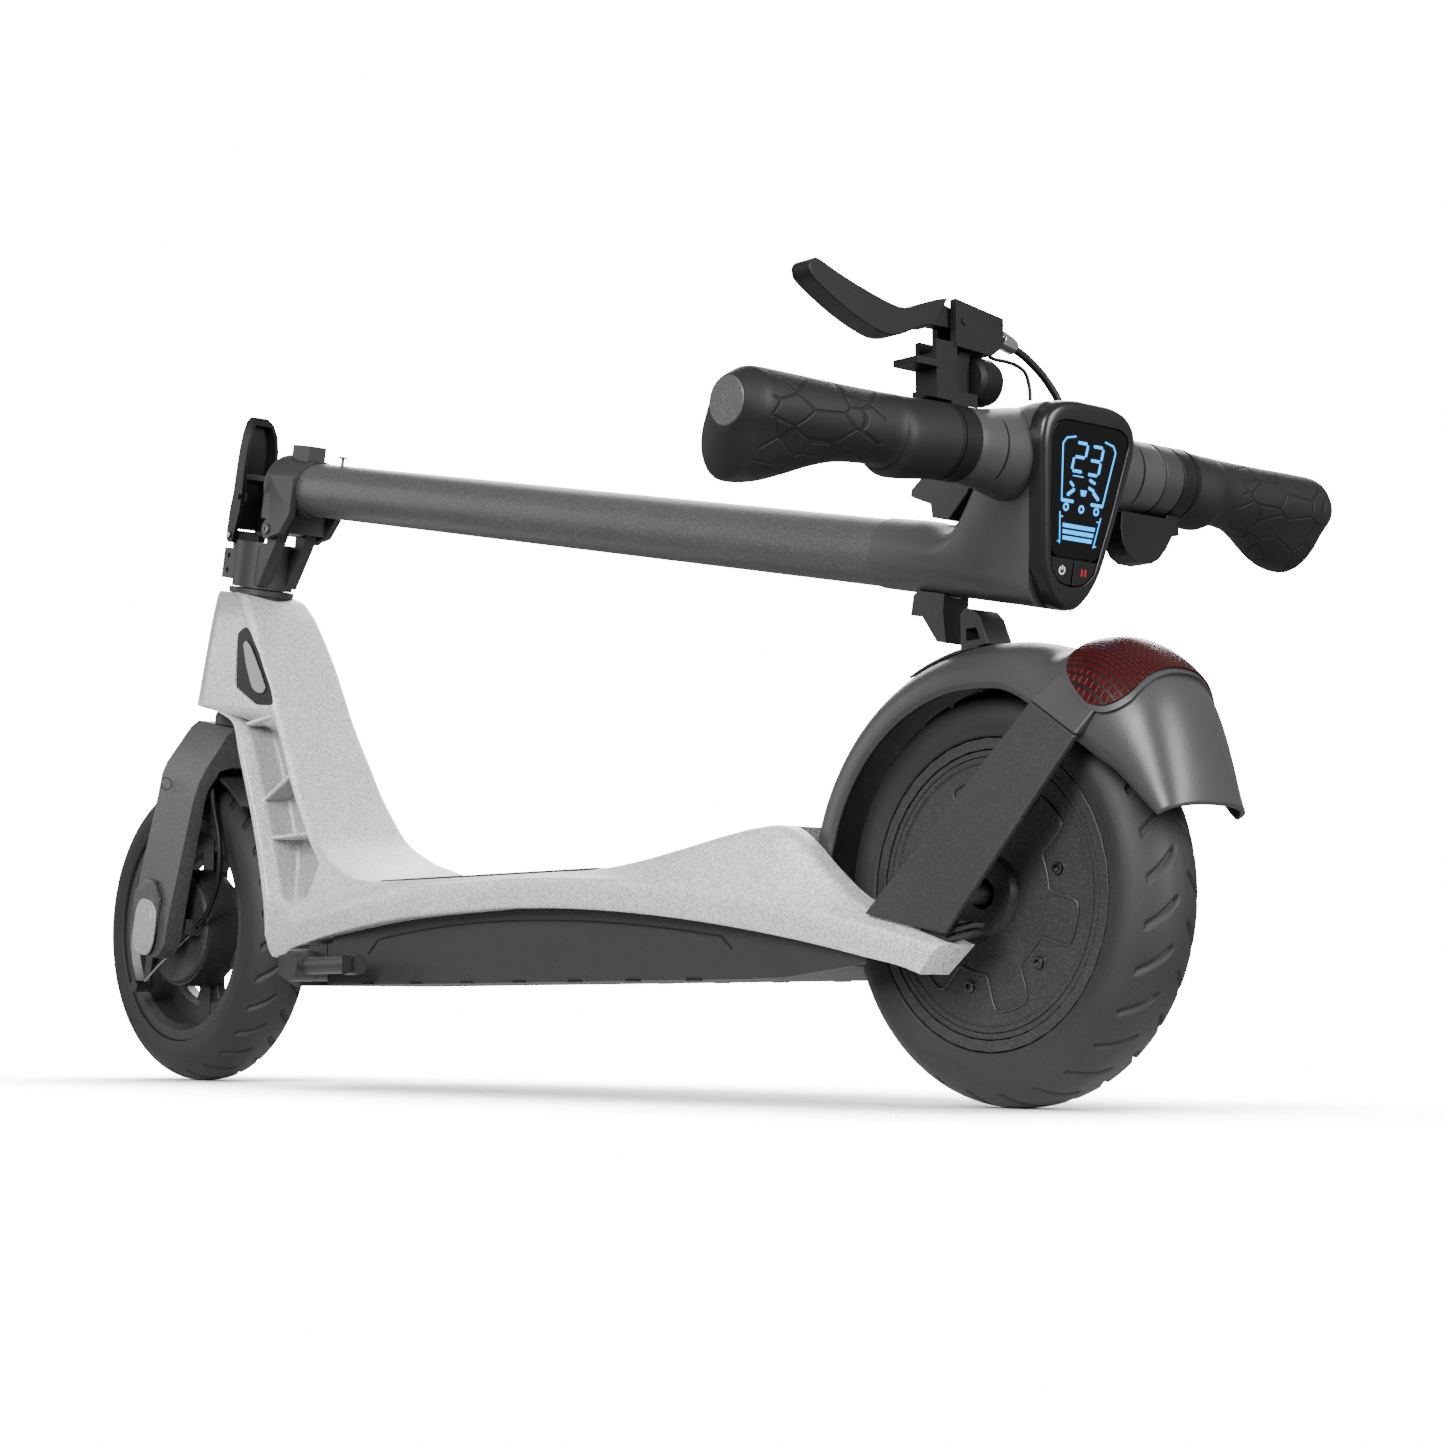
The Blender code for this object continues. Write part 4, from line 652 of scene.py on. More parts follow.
neckUpper = [
    # rear line x z, front line x z, half widths: rear, front, web
    (-0.3870, 0.3938, -0.4271, 0.4005, 0.0262, 0.0225, 0.0245),
    (-0.3760, 0.3888, -0.4284, 0.3960, 0.0296, 0.0240, 0.0280),
    (-0.3665, 0.3790, -0.4300, 0.3860, 0.0315, 0.0255, 0.0298),
    (-0.3570, 0.3660, -0.4320, 0.3740, 0.0330, 0.027, 0.0315),
    (-0.3385, 0.3346, -0.4376, 0.3450, 0.0355, 0.029, 0.0335),
    (-0.3240, 0.3080, -0.4430, 0.3210, 0.0360, 0.030, 0.0335),
    (-0.3150, 0.2905, -0.4460, 0.3065, 0.0362, 0.031, 0.0335)]
neckLower = [
    (-0.3060, 0.2750, -0.4100, 0.2990, 0.0366, 0.034, 0.0300),
    (-0.3010, 0.2660, -0.3850, 0.2900, 0.0372, 0.037, 0.0150),
    (-0.2960, 0.2580, -0.3731, 0.2810, 0.0378, 0.040, 0.0120),
    (-0.2880, 0.2443, -0.3640, 0.2620, 0.0390, 0.042, 0.0110),
    (-0.2780, 0.2272, -0.3540, 0.2360, 0.0402, 0.042, 0.0110),
    (-0.2640, 0.2080, -0.3440, 0.2100, 0.0420, 0.042, 0.0110),
    (-0.2451, 0.1858, -0.3330, 0.1760, 0.0451, 0.042, 0.0120),
    (-0.2200, 0.1700, -0.3225, 0.1400, 0.0530, 0.043, 0.0200)]
deckFront = [
    # top x z, bottom x z, half widths: top, crease, bottom; depth of the crease
    (-0.190, 0.1600, -0.3145, 0.1150, 0.0610, 0.0560, 0.0450, 0.060),
    (-0.165, 0.1540, -0.3000, 0.0985, 0.0660, 0.0640, 0.0470, 0.055),
    (-0.140, 0.1510, -0.2620, 0.1025, 0.0690, 0.0725, 0.0570, 0.040),
    (-0.110, 0.1500, -0.2150, 0.1080, 0.0690, 0.0785, 0.0680, 0.028),
    (-0.075, 0.1497, -0.1500, 0.1155, 0.0690, 0.0812, 0.0760, 0.018),
    (-0.030, 0.1495, -0.0750, 0.1222, 0.0690, 0.0825, 0.0795, 0.010)]
deckSpine = [
    # x, top, half widths of the top and of the crease
    (0.034, 0.1495, 0.069, 0.0830), (0.080, 0.1495, 0.069, 0.0830), (0.120, 0.1497, 0.068, 0.0828),
    (0.160, 0.1535, 0.066, 0.0825), (0.200, 0.1600, 0.064, 0.0820), (0.240, 0.1670, 0.063, 0.0810),
    (0.270, 0.1710, 0.062, 0.0800), (0.292, 0.1705, 0.061, 0.0790), (0.310, 0.1600, 0.060, 0.0780),
    (0.330, 0.1430, 0.060, 0.0770), (0.352, 0.1270, 0.061, 0.0760), (0.375, 0.1165, 0.063, 0.0750)]


def spread(rows, per):
    # rows of numbers, interpolated smoothly
    count = (len(rows) - 1) * per
    made = []
    for i in range(count + 1):
        t = i / count * (len(rows) - 1)
        k = min(int(t), len(rows) - 2)
        t -= k
        b, c = rows[k], rows[k + 1]
        a = rows[k - 1] if k else [2 * p - q for p, q in zip(b, c)]
        d = rows[k + 2] if k + 2 < len(rows) else [2 * q - p for p, q in zip(b, c)]
        made.append([0.5 * (2 * q + (r - p) * t + (2 * p - 5 * q + 4 * r - s) * t * t
                            + (3 * q - p - 3 * r + s) * t ** 3) for p, q, r, s in zip(a, b, c, d)])
    return made


def solidBox(low, high):
    outline = [(low[0], low[2]), (high[0], low[2]), (high[0], high[2]), (low[0], high[2])]
    return slab("cutter", outline, low[1], high[1], None, "silver")


def solidRod(start, end, radius, sides=64):
    start, end = Vector(start), Vector(end)
    turn = (end - start).to_track_quat("Z", "Y").to_matrix().to_4x4()
    rings = [[(radius * cos(a), radius * sin(a), h) for a in aroundTurn(sides)]
             for h in (0, (end - start).length)]
    return skin("cutter", rings, None, "silver", Matrix.Translation(start) @ turn)


pocketOutline = [(-0.3800, 0.3600), (-0.3690, 0.3640), (-0.3600, 0.3600), (-0.3440, 0.3400),
                 (-0.3270, 0.3110), (-0.3200, 0.2960), (-0.3500, 0.2990), (-0.3810, 0.3160)]
badgeOutline = [(-0.3700, 0.3500), (-0.3655, 0.3525), (-0.3590, 0.3480), (-0.3440, 0.3260),
                (-0.3360, 0.3110), (-0.3390, 0.3075), (-0.3480, 0.3080), (-0.3560, 0.3130), (-0.3650, 0.3320)]
ribs = {
    "low": [(-0.3330, 0.1905), (-0.2530, 0.1925), (-0.2550, 0.1950), (-0.3340, 0.1932)],
    "slanted": [(-0.3420, 0.2190), (-0.2900, 0.2430), (-0.2915, 0.2455), (-0.3430, 0.2216)],
    "top": [(-0.3640, 0.2835), (-0.3160, 0.2880), (-0.3165, 0.2908), (-0.3650, 0.2864)]}


def smoothOutline(outline, radius, steps=5):
    return [tuple(p) for p in roundCorners(outline, [radius] * len(outline), steps)]


def makeCasting():
    per = casting["grain"]
    rings = [neckRing(*row) for row in spread(neckUpper, per)]
    rings += [neckRing(*row) for row in spread(neckLower, per)]
    spine = [(x, top, x, railBottom(x), topHalf, creaseHalf, creaseHalf - 0.003, top - deckCrease(x))
             for x, top, topHalf, creaseHalf in spread(deckSpine, per)]
    rings += [deckRing(*row) for row in spread(deckFront + [list(spine[0])], per)[:-1]]
    rings += [deckRing(*row) for row in spine]
    rings += [deckRing(*row) for row in spread([
        spine[-1], (0.4100, 0.1055, 0.4020, 0.0835, 0.066, 0.0742, 0.0715, 0.005),
        (0.4410, 0.0950, 0.4200, 0.0780, 0.068, 0.0735, 0.0705, 0.002)], 3)[1:]]
    shell = skin("frame_casting", rings, None, "silver")
    axis = [steerFrame @ Vector((0, 0, h)) for h in (-0.14, 0.02, -0.0145, -0.0975)]
    hub, well = rearHub.translation, casting["wheelWellHalf"]
    # the steerer's bore and its two bearing seats, the battery bay, the mat's recess, the wheel well
    cutters = [
        solidRod(axis[0], axis[1], 0.0195), solidRod(axis[2], axis[1], 0.0240),
        solidRod(axis[0], axis[3], 0.0240),
        solidBox((-0.150, -0.0665, 0.02), (0.268, 0.0665, 0.1425)),
        solidBox((-0.195, -0.0540, 0.02), (-0.140, 0.0540, 0.1300)),
        slab("cutter", smoothOutline([(-0.130, -0.0665), (0.118, -0.0665), (0.118, 0.0665),
                                      (-0.130, 0.0665)], 0.004),
             casting["deckTop"] - casting["matRecess"], 0.22, None, "silver", axis="Z"),
        solidRod((hub.x, -well, hub.z), (hub.x, well, hub.z), casting["wheelWellRadius"], 128),
        solidBox((hub.x - 0.06, -well, 0.0), (0.6, well, 0.16))]
    for side in (-1, 1):
        cutters.append(slab("cutter", smoothOutline(pocketOutline, 0.005), *between(side, 0.0275, 0.06), None,
                            "silver"))
    cutWith(shell, cutters)
    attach(shell, "frame")
    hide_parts("main_frame")
    for side, name in bothSides:
        for kind, outline in ribs.items():
            rib = slab(f"rib_{kind}_{name}", outline, *between(side, 0.009, 0.0330), "frame", "silver",
                       soften=0.0009)
        badge = slab(f"badge_plate_{name}", smoothOutline(badgeOutline, 0.004),
                     *between(side, 0.0322, 0.0338), "frame", "badge", soften=0.0005)
    print("frame casting made")


# ---- tyres: smooth walls, slanted slots across both shoulders
tyre = {"slots": 28, "slotDepth": 0.0026, "slotHalf": 0.0016, "from": 0.0065, "to": 0.0205, "slant": -0.62,
        "steps": 720}


def tyreProfile():
    half = [(wheelRadius, 0.0), (0.1247, 0.0045), (0.1242, 0.0085), (0.1230, 0.0125), (0.1212, 0.0160),
            (0.1190, 0.0192), (0.1160, 0.0225), (0.1125, 0.0252), (0.1090, 0.0270), (0.1045, 0.0282),
            (0.1000, 0.0282), (0.0965, 0.0276), (0.0940, 0.0272), (0.0928, 0.0266)]
    fine = through([(r, h, 0) for r, h in half], 48)
    fine = [(p.x, p.y) for p in fine] + [(0.0926, 0.0256), (0.0926, 0.0202), (0.0870, 0.0196)]
    return fine[::-1] + [(r, -h) for r, h in fine[1:]]


def slotRipple(angle, height, radius):
    if radius < 0.1140:
        return 0.0
    side = 1 if height > 0 else -1
    across = abs(height)
    t = (across - tyre["from"]) / (tyre["to"] - tyre["from"])
    if not -0.12 < t < 1.12:
        return 0.0
    pitch = 2 * pi / tyre["slots"]
    shift = side * pitch / 4 - tyre["slant"] * (across - tyre["from"]) / wheelRadius * 1.7
    off = ((angle + shift) / pitch + 0.5) % 1.0 - 0.5
    away = abs(off) * pitch * radius * 0.76
    ends = max(0.0, -t, t - 1) * (tyre["to"] - tyre["from"])
    away = sqrt(away * away + ends * ends)
    share = max(0.0, min(1.0, (tyre["slotHalf"] * 1.6 - away) / (tyre["slotHalf"] * 1.1)))
    return -tyre["slotDepth"] * share * share * (3 - 2 * share)


def makeTyre(name, body, node, place):
    piece = lathe(name, tyreProfile(), body, "rubber", place, tyre["steps"], ripple=slotRipple, sharp=50)
    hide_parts(node)


def makeTyres():
    makeTyre("rear_tyre_slotted", "rear_wheel", "rear_tyre", rearHub)
    makeTyre("front_tyre_slotted", "front_wheel", "front_tyre", frontHub)
    print("tyres made")


# ---- motor's left face: raised panel line, ring grooves, six screws
motor = {"screws": 6, "screwRadius": 0.0560, "lobeOut": 0.0690, "lobeIn": 0.0470, "turn": radians(14),
         "lineSteps": 240}
# radius and height of each turn of the cover, from its rim to the hub
coverTurns = [(0.0849, 0.0249), (0.0846, 0.0254), (0.0815, 0.0254), (0.0811, 0.0246), (0.0807, 0.0254),
              (0.0780, 0.0254), (0.0774, 0.0250), (0.0768, 0.0243), (0.0700, 0.0243)]
hubTurns = [(0.0320, 0.0262), (0.0300, 0.0266), (0.0240, 0.0268), (0.0222, 0.0308), (0.0214, 0.0312),
            (0.0092, 0.0312), (0.0092, 0.0206), (0.0849, 0.0206)]


def faceHeight(radius):
    # the dished cover: flat rim, a step down, a slow rise to the hub
    if radius > 0.0775:
        return 0.0254
    return 0.0243 + 0.0018 * max(0.0, min(1.0, (0.0700 - radius) / 0.04))


def motorPanelLine():
    # lobes between the screws, steep at their flanks
    points = []
    for a in aroundTurn(motor["lineSteps"]):
        wave = cos(motor["screws"] * (a - motor["turn"]))
        share = 1 / (1 + exp(9 * (wave + 0.15)))
        r = motor["lobeIn"] + (motor["lobeOut"] - motor["lobeIn"]) * share
        points.append(Vector((r * cos(a), -(faceHeight(r) + 0.0001), r * sin(a))))
    return points


def makeMotor():
    profile = coverTurns + [(r, faceHeight(r)) for r in (0.0600, 0.0500, 0.0400)] + hubTurns
    cover = lathe("motor_face_left", profile, "rear_wheel", "cover", rearHub, 128, sharp=28)
    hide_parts("motor_cover")
    line = motorPanelLine()
    ridge = hose("motor_face_left_panel_line", line + line[:2], 0.0010, "rear_wheel", "cover", rearHub, 8)
    bossTurns = [(0.0, 0.0), (0.0052, 0.0), (0.0048, 0.0011), (0.0036, 0.0013), (0.0, 0.0013)]
    for k in range(motor["screws"]):
        a = motor["turn"] + 2 * pi * k / motor["screws"]
        spot = Vector((motor["screwRadius"] * cos(a), -0.0240, motor["screwRadius"] * sin(a)))
        boss = lathe(f"motor_face_left_boss_{k}", bossTurns, "rear_wheel", "cover",
                     rearHub @ Matrix.Translation(spot), 32, closed=False)
        screw = screwHead(f"motor_face_left_screw_{k}", spot + Vector((0, -0.0012, 0)), (0, -1, 0), 0.0037,
                          "rear_wheel", rearHub)
    print("motor face made")


# ---- rear fender with its lens
fender = {"outer": 0.150, "half": 0.0415, "wall": 0.0026, "columns": 41, "grain": 5,
          "lensFrom": 10.1, "lensTo": 13.5, "lensWide": 61, "lensLong": 31, "lensAngle": 76}


def fenderStations():
    # crown x z, edge x z, half width
    hub = rearHub.translation
    rows = []
    for angle in (182, 168, 154, 140, 126, 112, 98, 84, 75):
        a = radians(angle)
        skirt = 0.120 if angle < 170 else 0.126
        rows.append((hub.x + fender["outer"] * cos(a), hub.z + fender["outer"] * sin(a),
                     hub.x + skirt * cos(a), hub.z + skirt * sin(a), fender["half"]))
    rows += [(0.4870, 0.2640, 0.4850, 0.2305, 0.0425), (0.5030, 0.2660, 0.4990, 0.2220, 0.0435),
             (0.5230, 0.2665, 0.5150, 0.2115, 0.0440), (0.5390, 0.2610, 0.5250, 0.2045, 0.0440),
             (0.5545, 0.2500, 0.5345, 0.1975, 0.0430), (0.5650, 0.2370, 0.5440, 0.1910, 0.0412),
             (0.5725, 0.2190, 0.5510, 0.1840, 0.0395), (0.5778, 0.2000, 0.5575, 0.1770, 0.0380),
             (0.5815, 0.1835, 0.5635, 0.1705, 0.0366), (0.5840, 0.1710, 0.5700, 0.1645, 0.0356)]
    return spread(rows, fender["grain"])


def archPoint(row, phi, lift=0.0):
    # a point of the arch at an angle from its crown, raised off the surface by lift
    crown, edge, half = Vector(row[0:2]), Vector(row[2:4]), row[4]
    down = edge - crown
    depth = 1.0 - abs(cos(phi)) ** 0.75
    at = crown + down * depth - down.normalized() * lift * cos(phi)
    side = 1 if phi > 0 else -1
    return Vector((at.x, (half + lift * abs(sin(phi))) * side * abs(sin(phi)) ** 0.85, at.y))


def thicken(piece, wall, offset):
    solid = piece.modifiers.new("wall", "SOLIDIFY")
    solid.thickness, solid.offset, solid.use_even_offset = wall, offset, True


def wayIn(piece, share):
    # which way is in, from the normal of one face part of the way along
    faces = piece.data.polygons
    return -1.0 if faces[len(faces) // share].normal.z > 0 else 1.0


def makeFender():
    stations = fenderStations()
    columns = fender["columns"]
    rows = [[archPoint(row, radians(90 - 180 * i / (columns - 1))) for i in range(columns)]
            for row in stations]
    shell = skin("rear_fender_shell", rows, "frame", "fender", loop=False, sharp=60)
    thicken(shell, fender["wall"], wayIn(shell, 3))
    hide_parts("rear_fender")

    # the tail light, rounded at both ends, over a rim of the fender's own plastic
    first, last = fender["lensFrom"] * fender["grain"], fender["lensTo"] * fender["grain"]
    wide, long = fender["lensWide"], fender["lensLong"]
    for kind, lift, inset, material in (("rim", 0.0026, 0.0, "fender"), ("lens", 0.0040, 0.12, "tail")):
        grid = []
        for i in range(wide):
            share = -1 + 2 * i / (wide - 1)
            phi = radians(fender["lensAngle"] - 3 * (kind == "lens")) * share
            squeeze = max(0.0, abs(share) - 0.62) / 0.38
            reach = (sqrt(max(0.0, 1 - squeeze * squeeze * 0.999)) + 0.02) * (1 - inset)
            line = []
            for k in range(long):
                t = first + (0.5 + (k / (long - 1) - 0.5) * min(1.0, reach)) * (last - first)
                low = min(int(t), len(stations) - 2)
                near = [archPoint(stations[low + n], phi, lift) for n in (0, 1)]
                line.append(near[0].lerp(near[1], t - low))
            grid.append(line)
        lens = skin(f"tail_light_{kind}", grid, "frame", material, loop=False, sharp=60)
        thicken(lens, lift - 0.0003, wayIn(lens, 2))
        bevel(lens, 0.0006, 2, 50)
        if kind == "lens":
            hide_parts("tail_light")
    print("fender made")


# ---- fender stays: flat arms with softened edges
stayCorners = [(0.3761, 0.0715, 0.1095), (0.4412, 0.0715, 0.0965), (0.5233, 0.0500, 0.2060),
               (0.4891, 0.0490, 0.2285)]
padCorners = [(0.4893, 0.0492, 0.2332), (0.5235, 0.0502, 0.2107), (0.5425, 0.0400, 0.2360),
              (0.5120, 0.0360, 0.2560)]
bracketOutline = [(0.4120, 0.0925), (0.4560, 0.1000), (0.4590, 0.1075), (0.4180, 0.1100)]


def makeStays():
    for side, name in bothSides:
        rings = [[(x, side * (y - inward), z + 0.0045) for x, y, z in stayCorners]
                 for inward in (0.0, 0.0045)]
        stay = skin(f"fender_stay_arm_{name}", rings, "frame", "stay", soften=0.0013, sharp=30)
        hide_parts(f"fender_stay_{name}")
        rings = [[(x, side * (y - inward), z) for x, y, z in padCorners] for inward in (0.0, 0.0060)]
        pad = skin(f"fender_pad_{name}", rings, "frame", "fender", soften=0.0013, sharp=30)
        bracket = slab(f"dropout_bracket_{name}", smoothOutline(bracketOutline, 0.002),
                       *between(side, 0.0555, 0.0640), None, "stay")
        slots = []
        for z in (0.0988, 0.1030):
            slot = [(0.4360, z), (0.4600, z + 0.0040), (0.4600, z + 0.0060), (0.4360, z + 0.0020)]
            slots.append(slab("cutter", slot, -0.09, 0.09, None, "stay"))
        cutWith(bracket, slots)
        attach(bracket, "frame")
    print("stays made")


# ---- tray skirts under the deck rails, with a raised arc
skirt = {"from": -0.188, "to": 0.372, "half": 0.0660, "low": 0.0762, "steps": 48, "clips": 7,
         "firstClip": -0.15, "clipPitch": 0.06}


def makeSkirts():
    count = skirt["steps"]
    places = [skirt["from"] + (skirt["to"] - skirt["from"]) * k / count for k in range(count + 1)]
    for side, name in bothSides:
        ending = [(skirt["to"], skirt["low"] + 0.0085), (0.3000, skirt["low"] + 0.0008),
                  (skirt["from"], skirt["low"])]
        outline = [(x, railBottom(x) + 0.004) for x in places] + ending
        plate = slab(f"tray_skirt_{name}", outline, *between(side, skirt["half"] - 0.0022, skirt["half"]),
                     "frame", "tray", soften=0.0008)
        inset = [x for x in places if -0.135 < x < 0.250]
        line = [Vector((x, side * (skirt["half"] + 0.0001), railBottom(x) - 0.0080)) for x in inset]
        line = [line[0] + Vector((-0.012, 0, -0.010))] + line + [line[-1] + Vector((0.010, 0, -0.008))]
        ridge = hose(f"tray_arc_{name}", line, 0.0006, "frame", "black", sides=8)
        for k in range(skirt["clips"]):
            x = skirt["firstClip"] + skirt["clipPitch"] * k
            clip = slab(f"tray_clip_{name}_{k}", [(x, 0.0758), (x + 0.014, 0.0758), (x + 0.013, 0.0778),
                                                  (x + 0.001, 0.0778)],
                        *between(side, skirt["half"] - 0.002, skirt["half"] + 0.0008), "frame", "black",
                        soften=0.0003)
    print("skirts made")


# ---- small hardware
footOutline = [(-0.0085, -0.0075), (0.0030, -0.0062), (0.0030, 0.0062), (-0.0085, 0.0075)]


def reachOf(node, side):
    # how far a CAD node goes out on one side
    return max(side * v.co.y for v in nodes[node].data.vertices)


def makeHardware():
    # the kickstand's foot gets a lip
    points = [v.co for v in nodes["kickstand_leg"].data.vertices]
    tip = max(points, key=lambda p: p.x)
    far = [p for p in points if p.x > tip.x - 0.004]
    centre = sum(far, Vector()) / len(far)
    foot = slab("stand_foot_lip", smoothOutline(footOutline, 0.0025), -0.0083, -0.0060, "kickstand", "black",
                Matrix.Translation(centre), soften=0.0006)
    hinge = jointPlace("fold")
    for side, name in bothSides:
        deep = side * (reachOf("fold_pin", side) - 0.0004)
        cap = screwHead(f"fold_pin_head_{name}", (hinge.x, deep, hinge.z), (0, side, 0), 0.0042, "steering",
                        height=0.0012)
    # a small pin with a round head stands on the stem tube beside the fold
    stalk = hose("rest_pin_stalk", [(-0.0560, 0, 0.0595), (-0.0600, 0, 0.0595), (-0.0632, 0, 0.0595)], 0.0013,
                 "stem", "darkSteel", foldFrame, 12)
    knob = screwHead("rest_pin_head", (-0.0630, 0, 0.0595), (-1, 0, 0), 0.0036, "stem", foldFrame,
                     height=0.0014)
    # a raised oval on each side of the fork crown
    for side, name in bothSides:
        deep = reachOf("fork", side)
        place = frontHub @ Matrix.Translation((0.0, 0.0, 0.1180))
        loop = [Vector((0.0085 * cos(a), side * (deep + 0.0001), 0.0048 * sin(a)))
                for a in (2 * pi * k / 32 for k in range(34))]
        oval = hose(f"fork_oval_{name}", loop, 0.0004, "steering", "black", place, 6)
    # lip over the front of the rear fender
    rows = fenderStations()
    grid = []
    for i in range(25):
        phi = radians(-38 + 76 * i / 24)
        grid.append([archPoint(rows[k], phi, 0.0014) for k in range(24, 31)])
    lip = skin("fender_lip", grid, "frame", "fender", loop=False, sharp=60)
    thicken(lip, 0.0016, 0.0)
    bevel(lip, 0.0004, 2, 50)
    print("hardware made")


# ---- front wheel: inner ring and drum steps
frontRim = {"webs": 6, "turn": 0.35, "inner": 0.0470, "innerHalf": 0.25, "outer": 0.0620, "outerHalf": 0.30}


def makeFrontRing():
    ring = lathe("front_rim_inner_ring", [(0.0600, -0.0110), (0.0815, -0.0150), (0.0815, 0.0010),
                                          (0.0640, 0.0015), (0.0600, -0.0010)], "front_wheel", "cover",
                 frontHub, 96, sharp=30, soften=0.0008)
    inner, outer = frontRim["inner"], frontRim["outer"]
    for k in range(frontRim["webs"]):
        a = frontRim["turn"] + k * pi / 3
        corners = ((inner, a + frontRim["innerHalf"]), (outer, a + frontRim["outerHalf"]),
                   (outer, a - frontRim["outerHalf"]), (inner, a - frontRim["innerHalf"]))
        web = [(r * cos(turn), -r * sin(turn)) for r, turn in corners]
        gusset = slab(f"front_spoke_web_{k}", web, 0.0015, 0.0100, "front_wheel", "cover", frontHub,
                      soften=0.0012)
    for side, name in bothSides:
        deep = reachOf(f"axle_cover_{name}", side)
        for kind, wide, tall, out in (("plate", 0.0162, 0.0226, 0.0004), ("panel", 0.0112, 0.0180, 0.0012)):
            outline = [(wide * abs(cos(a)) ** 0.62 * (1 if cos(a) > 0 else -1),
                        tall * abs(sin(a)) ** 0.75 * (1 if sin(a) > 0 else -1)) for a in aroundTurn(40)]
            plate = slab(f"axle_{kind}_{name}", outline, *between(side, deep - 0.0015, deep + out),
                         "steering", "silverCap", frontHub, soften=0.0006)
    print("front ring made")


# ---- bar head: flared casting, arms, rounded bezel
head = {"stemRadius": 0.0222, "armRadius": 0.0222, "armHalf": 0.0810, "armSteps": 48, "armSwell": 0.0075,
        "swellHalf": 0.070, "seam": 0.0600, "faceCentre": -0.074}
bezelHalf = [(0.1355, 0.0180), (0.1320, 0.0310), (0.1240, 0.0395), (0.1120, 0.0412), (0.0900, 0.0368),
             (0.0700, 0.0325), (0.0500, 0.0285), (0.0350, 0.0245), (0.0230, 0.0175), (0.0140, 0.0085)]
lensHalf = [(0.1240, 0.0235), (0.1215, 0.0310), (0.1160, 0.0340), (0.0743, 0.0272), (0.0447, 0.0208)]


def mirrored(half, grow=0.0):
    right = [(-(f + grow * (1 if f > 0.075 else -1)), w + grow) for f, w in half]
    return right + [(x, -y) for x, y in right[::-1]]


def makeHead():
    s = head["stemRadius"]
    # height, front, rear, half widths: front and rear, corner
    stations = [
        (0.6900, 0.0360 + s, 0.0360 - s, s, s, s), (0.7200, 0.0365 + s, 0.0360 - s, s + 0.001, s, s),
        (0.7560, 0.0600, 0.0142, 0.0250, 0.0240, 0.020), (0.7780, 0.0900, 0.0140, 0.0290, 0.0245, 0.018),
        (0.7920, 0.1240, 0.0140, 0.0330, 0.0245, 0.016), (0.8100, 0.1310, 0.0138, 0.0370, 0.0245, 0.015),
        (0.8282, 0.1335, 0.0135, 0.0395, 0.0235, 0.014)]
    rings = []
    for z, front, rear, frontHalf, rearHalf, corner in spread(stations, 5):
        half = []
        for x, width, way in ((-front, frontHalf, 1), (-rear, rearHalf, -1)):
            c = min(corner, width * 0.9)
            arc = [(x + way * c * (1 - cos(a)), width - c * (1 - sin(a)))
                   for a in (pi / 2 * k / 8 for k in range(9))]
            half += arc if way > 0 else arc[::-1]
        rings.append([(x, y, z) for x, y in half] + [(x, -y, z) for x, y in half[::-1]])
    shell = skin("head_casting", rings, "stem", "head", foldFrame, sharp=50)
    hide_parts("bar_head")
    # the arms swell away from the display
    away = foldFrame.to_3x3() @ Vector((0, 0, -1))
    rings = []
    last = head["armSteps"]
    for k in range(last + 1):
        y = -head["armHalf"] + 2 * head["armHalf"] * k / last
        grow = head["armSwell"] * max(0.0, 1 - (y / head["swellHalf"]) ** 2) ** 1.5
        r = head["armRadius"] + grow - (0.0005 if k in (0, last) else 0.0)
        rings.append([(away.x * grow + r * cos(a), y, away.z * grow + r * sin(a)) for a in aroundTurn(72)])
    arms = skin("head_arms", rings, "stem", "head", barFrame, sharp=40)
    for side, name in bothSides:
        y = side * head["seam"]
        groove = lathe(f"head_seam_{name}",
                       [(0.0210, -y - 0.0008), (0.02255, -y - 0.0006), (0.02255, -y + 0.0006),
                        (0.0210, -y + 0.0008)], "stem", "black", barFrame, 64)

    edge = smoothOutline(mirrored(bezelHalf), 0.010, 7)
    centre = head["faceCentre"]
    rings = []
    for z, inset in ((0.8287, 0.0), (0.8372, 0.0), (0.8386, 0.0005), (0.8397, 0.0014), (0.8404, 0.0028),
                     (0.8407, 0.0046)):
        rings.append([(centre + (x - centre) * (1 - inset / 0.061), y * (1 - inset / 0.036), z)
                      for x, y in edge])
    bezel = skin("bezel_rounded", rings, None, "gloss", foldFrame)
    pocket = smoothOutline(mirrored(lensHalf + [(0.0370, 0.0190), (0.0300, 0.0120), (0.0280, 0.0040)]),
                           0.003)
    cutWith(bezel, [slab("cutter", pocket, 0.8350, 0.86, None, "gloss", foldFrame, axis="Z")])
    bevel(bezel, 0.0005, 2)
    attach(bezel, "stem")
    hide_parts("display_bezel")
    glass = smoothOutline([(-0.0006 + x * 0.992, y * 0.982) for x, y in mirrored(lensHalf)], 0.0055, 7)
    lens = slab("display_glass", glass, 0.8356, 0.8402, "stem", "display", foldFrame, axis="Z",
                soften=0.0004)
    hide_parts("display_lens")
    print("head made")


# ---- marks behind the glass: a speed reading, a gauge and plain signs
marks = {"low": 0.84015, "high": 0.84038, "thick": 0.0019, "digitWide": 0.0098, "digitTall": 0.0166,
         "slant": 0.10}


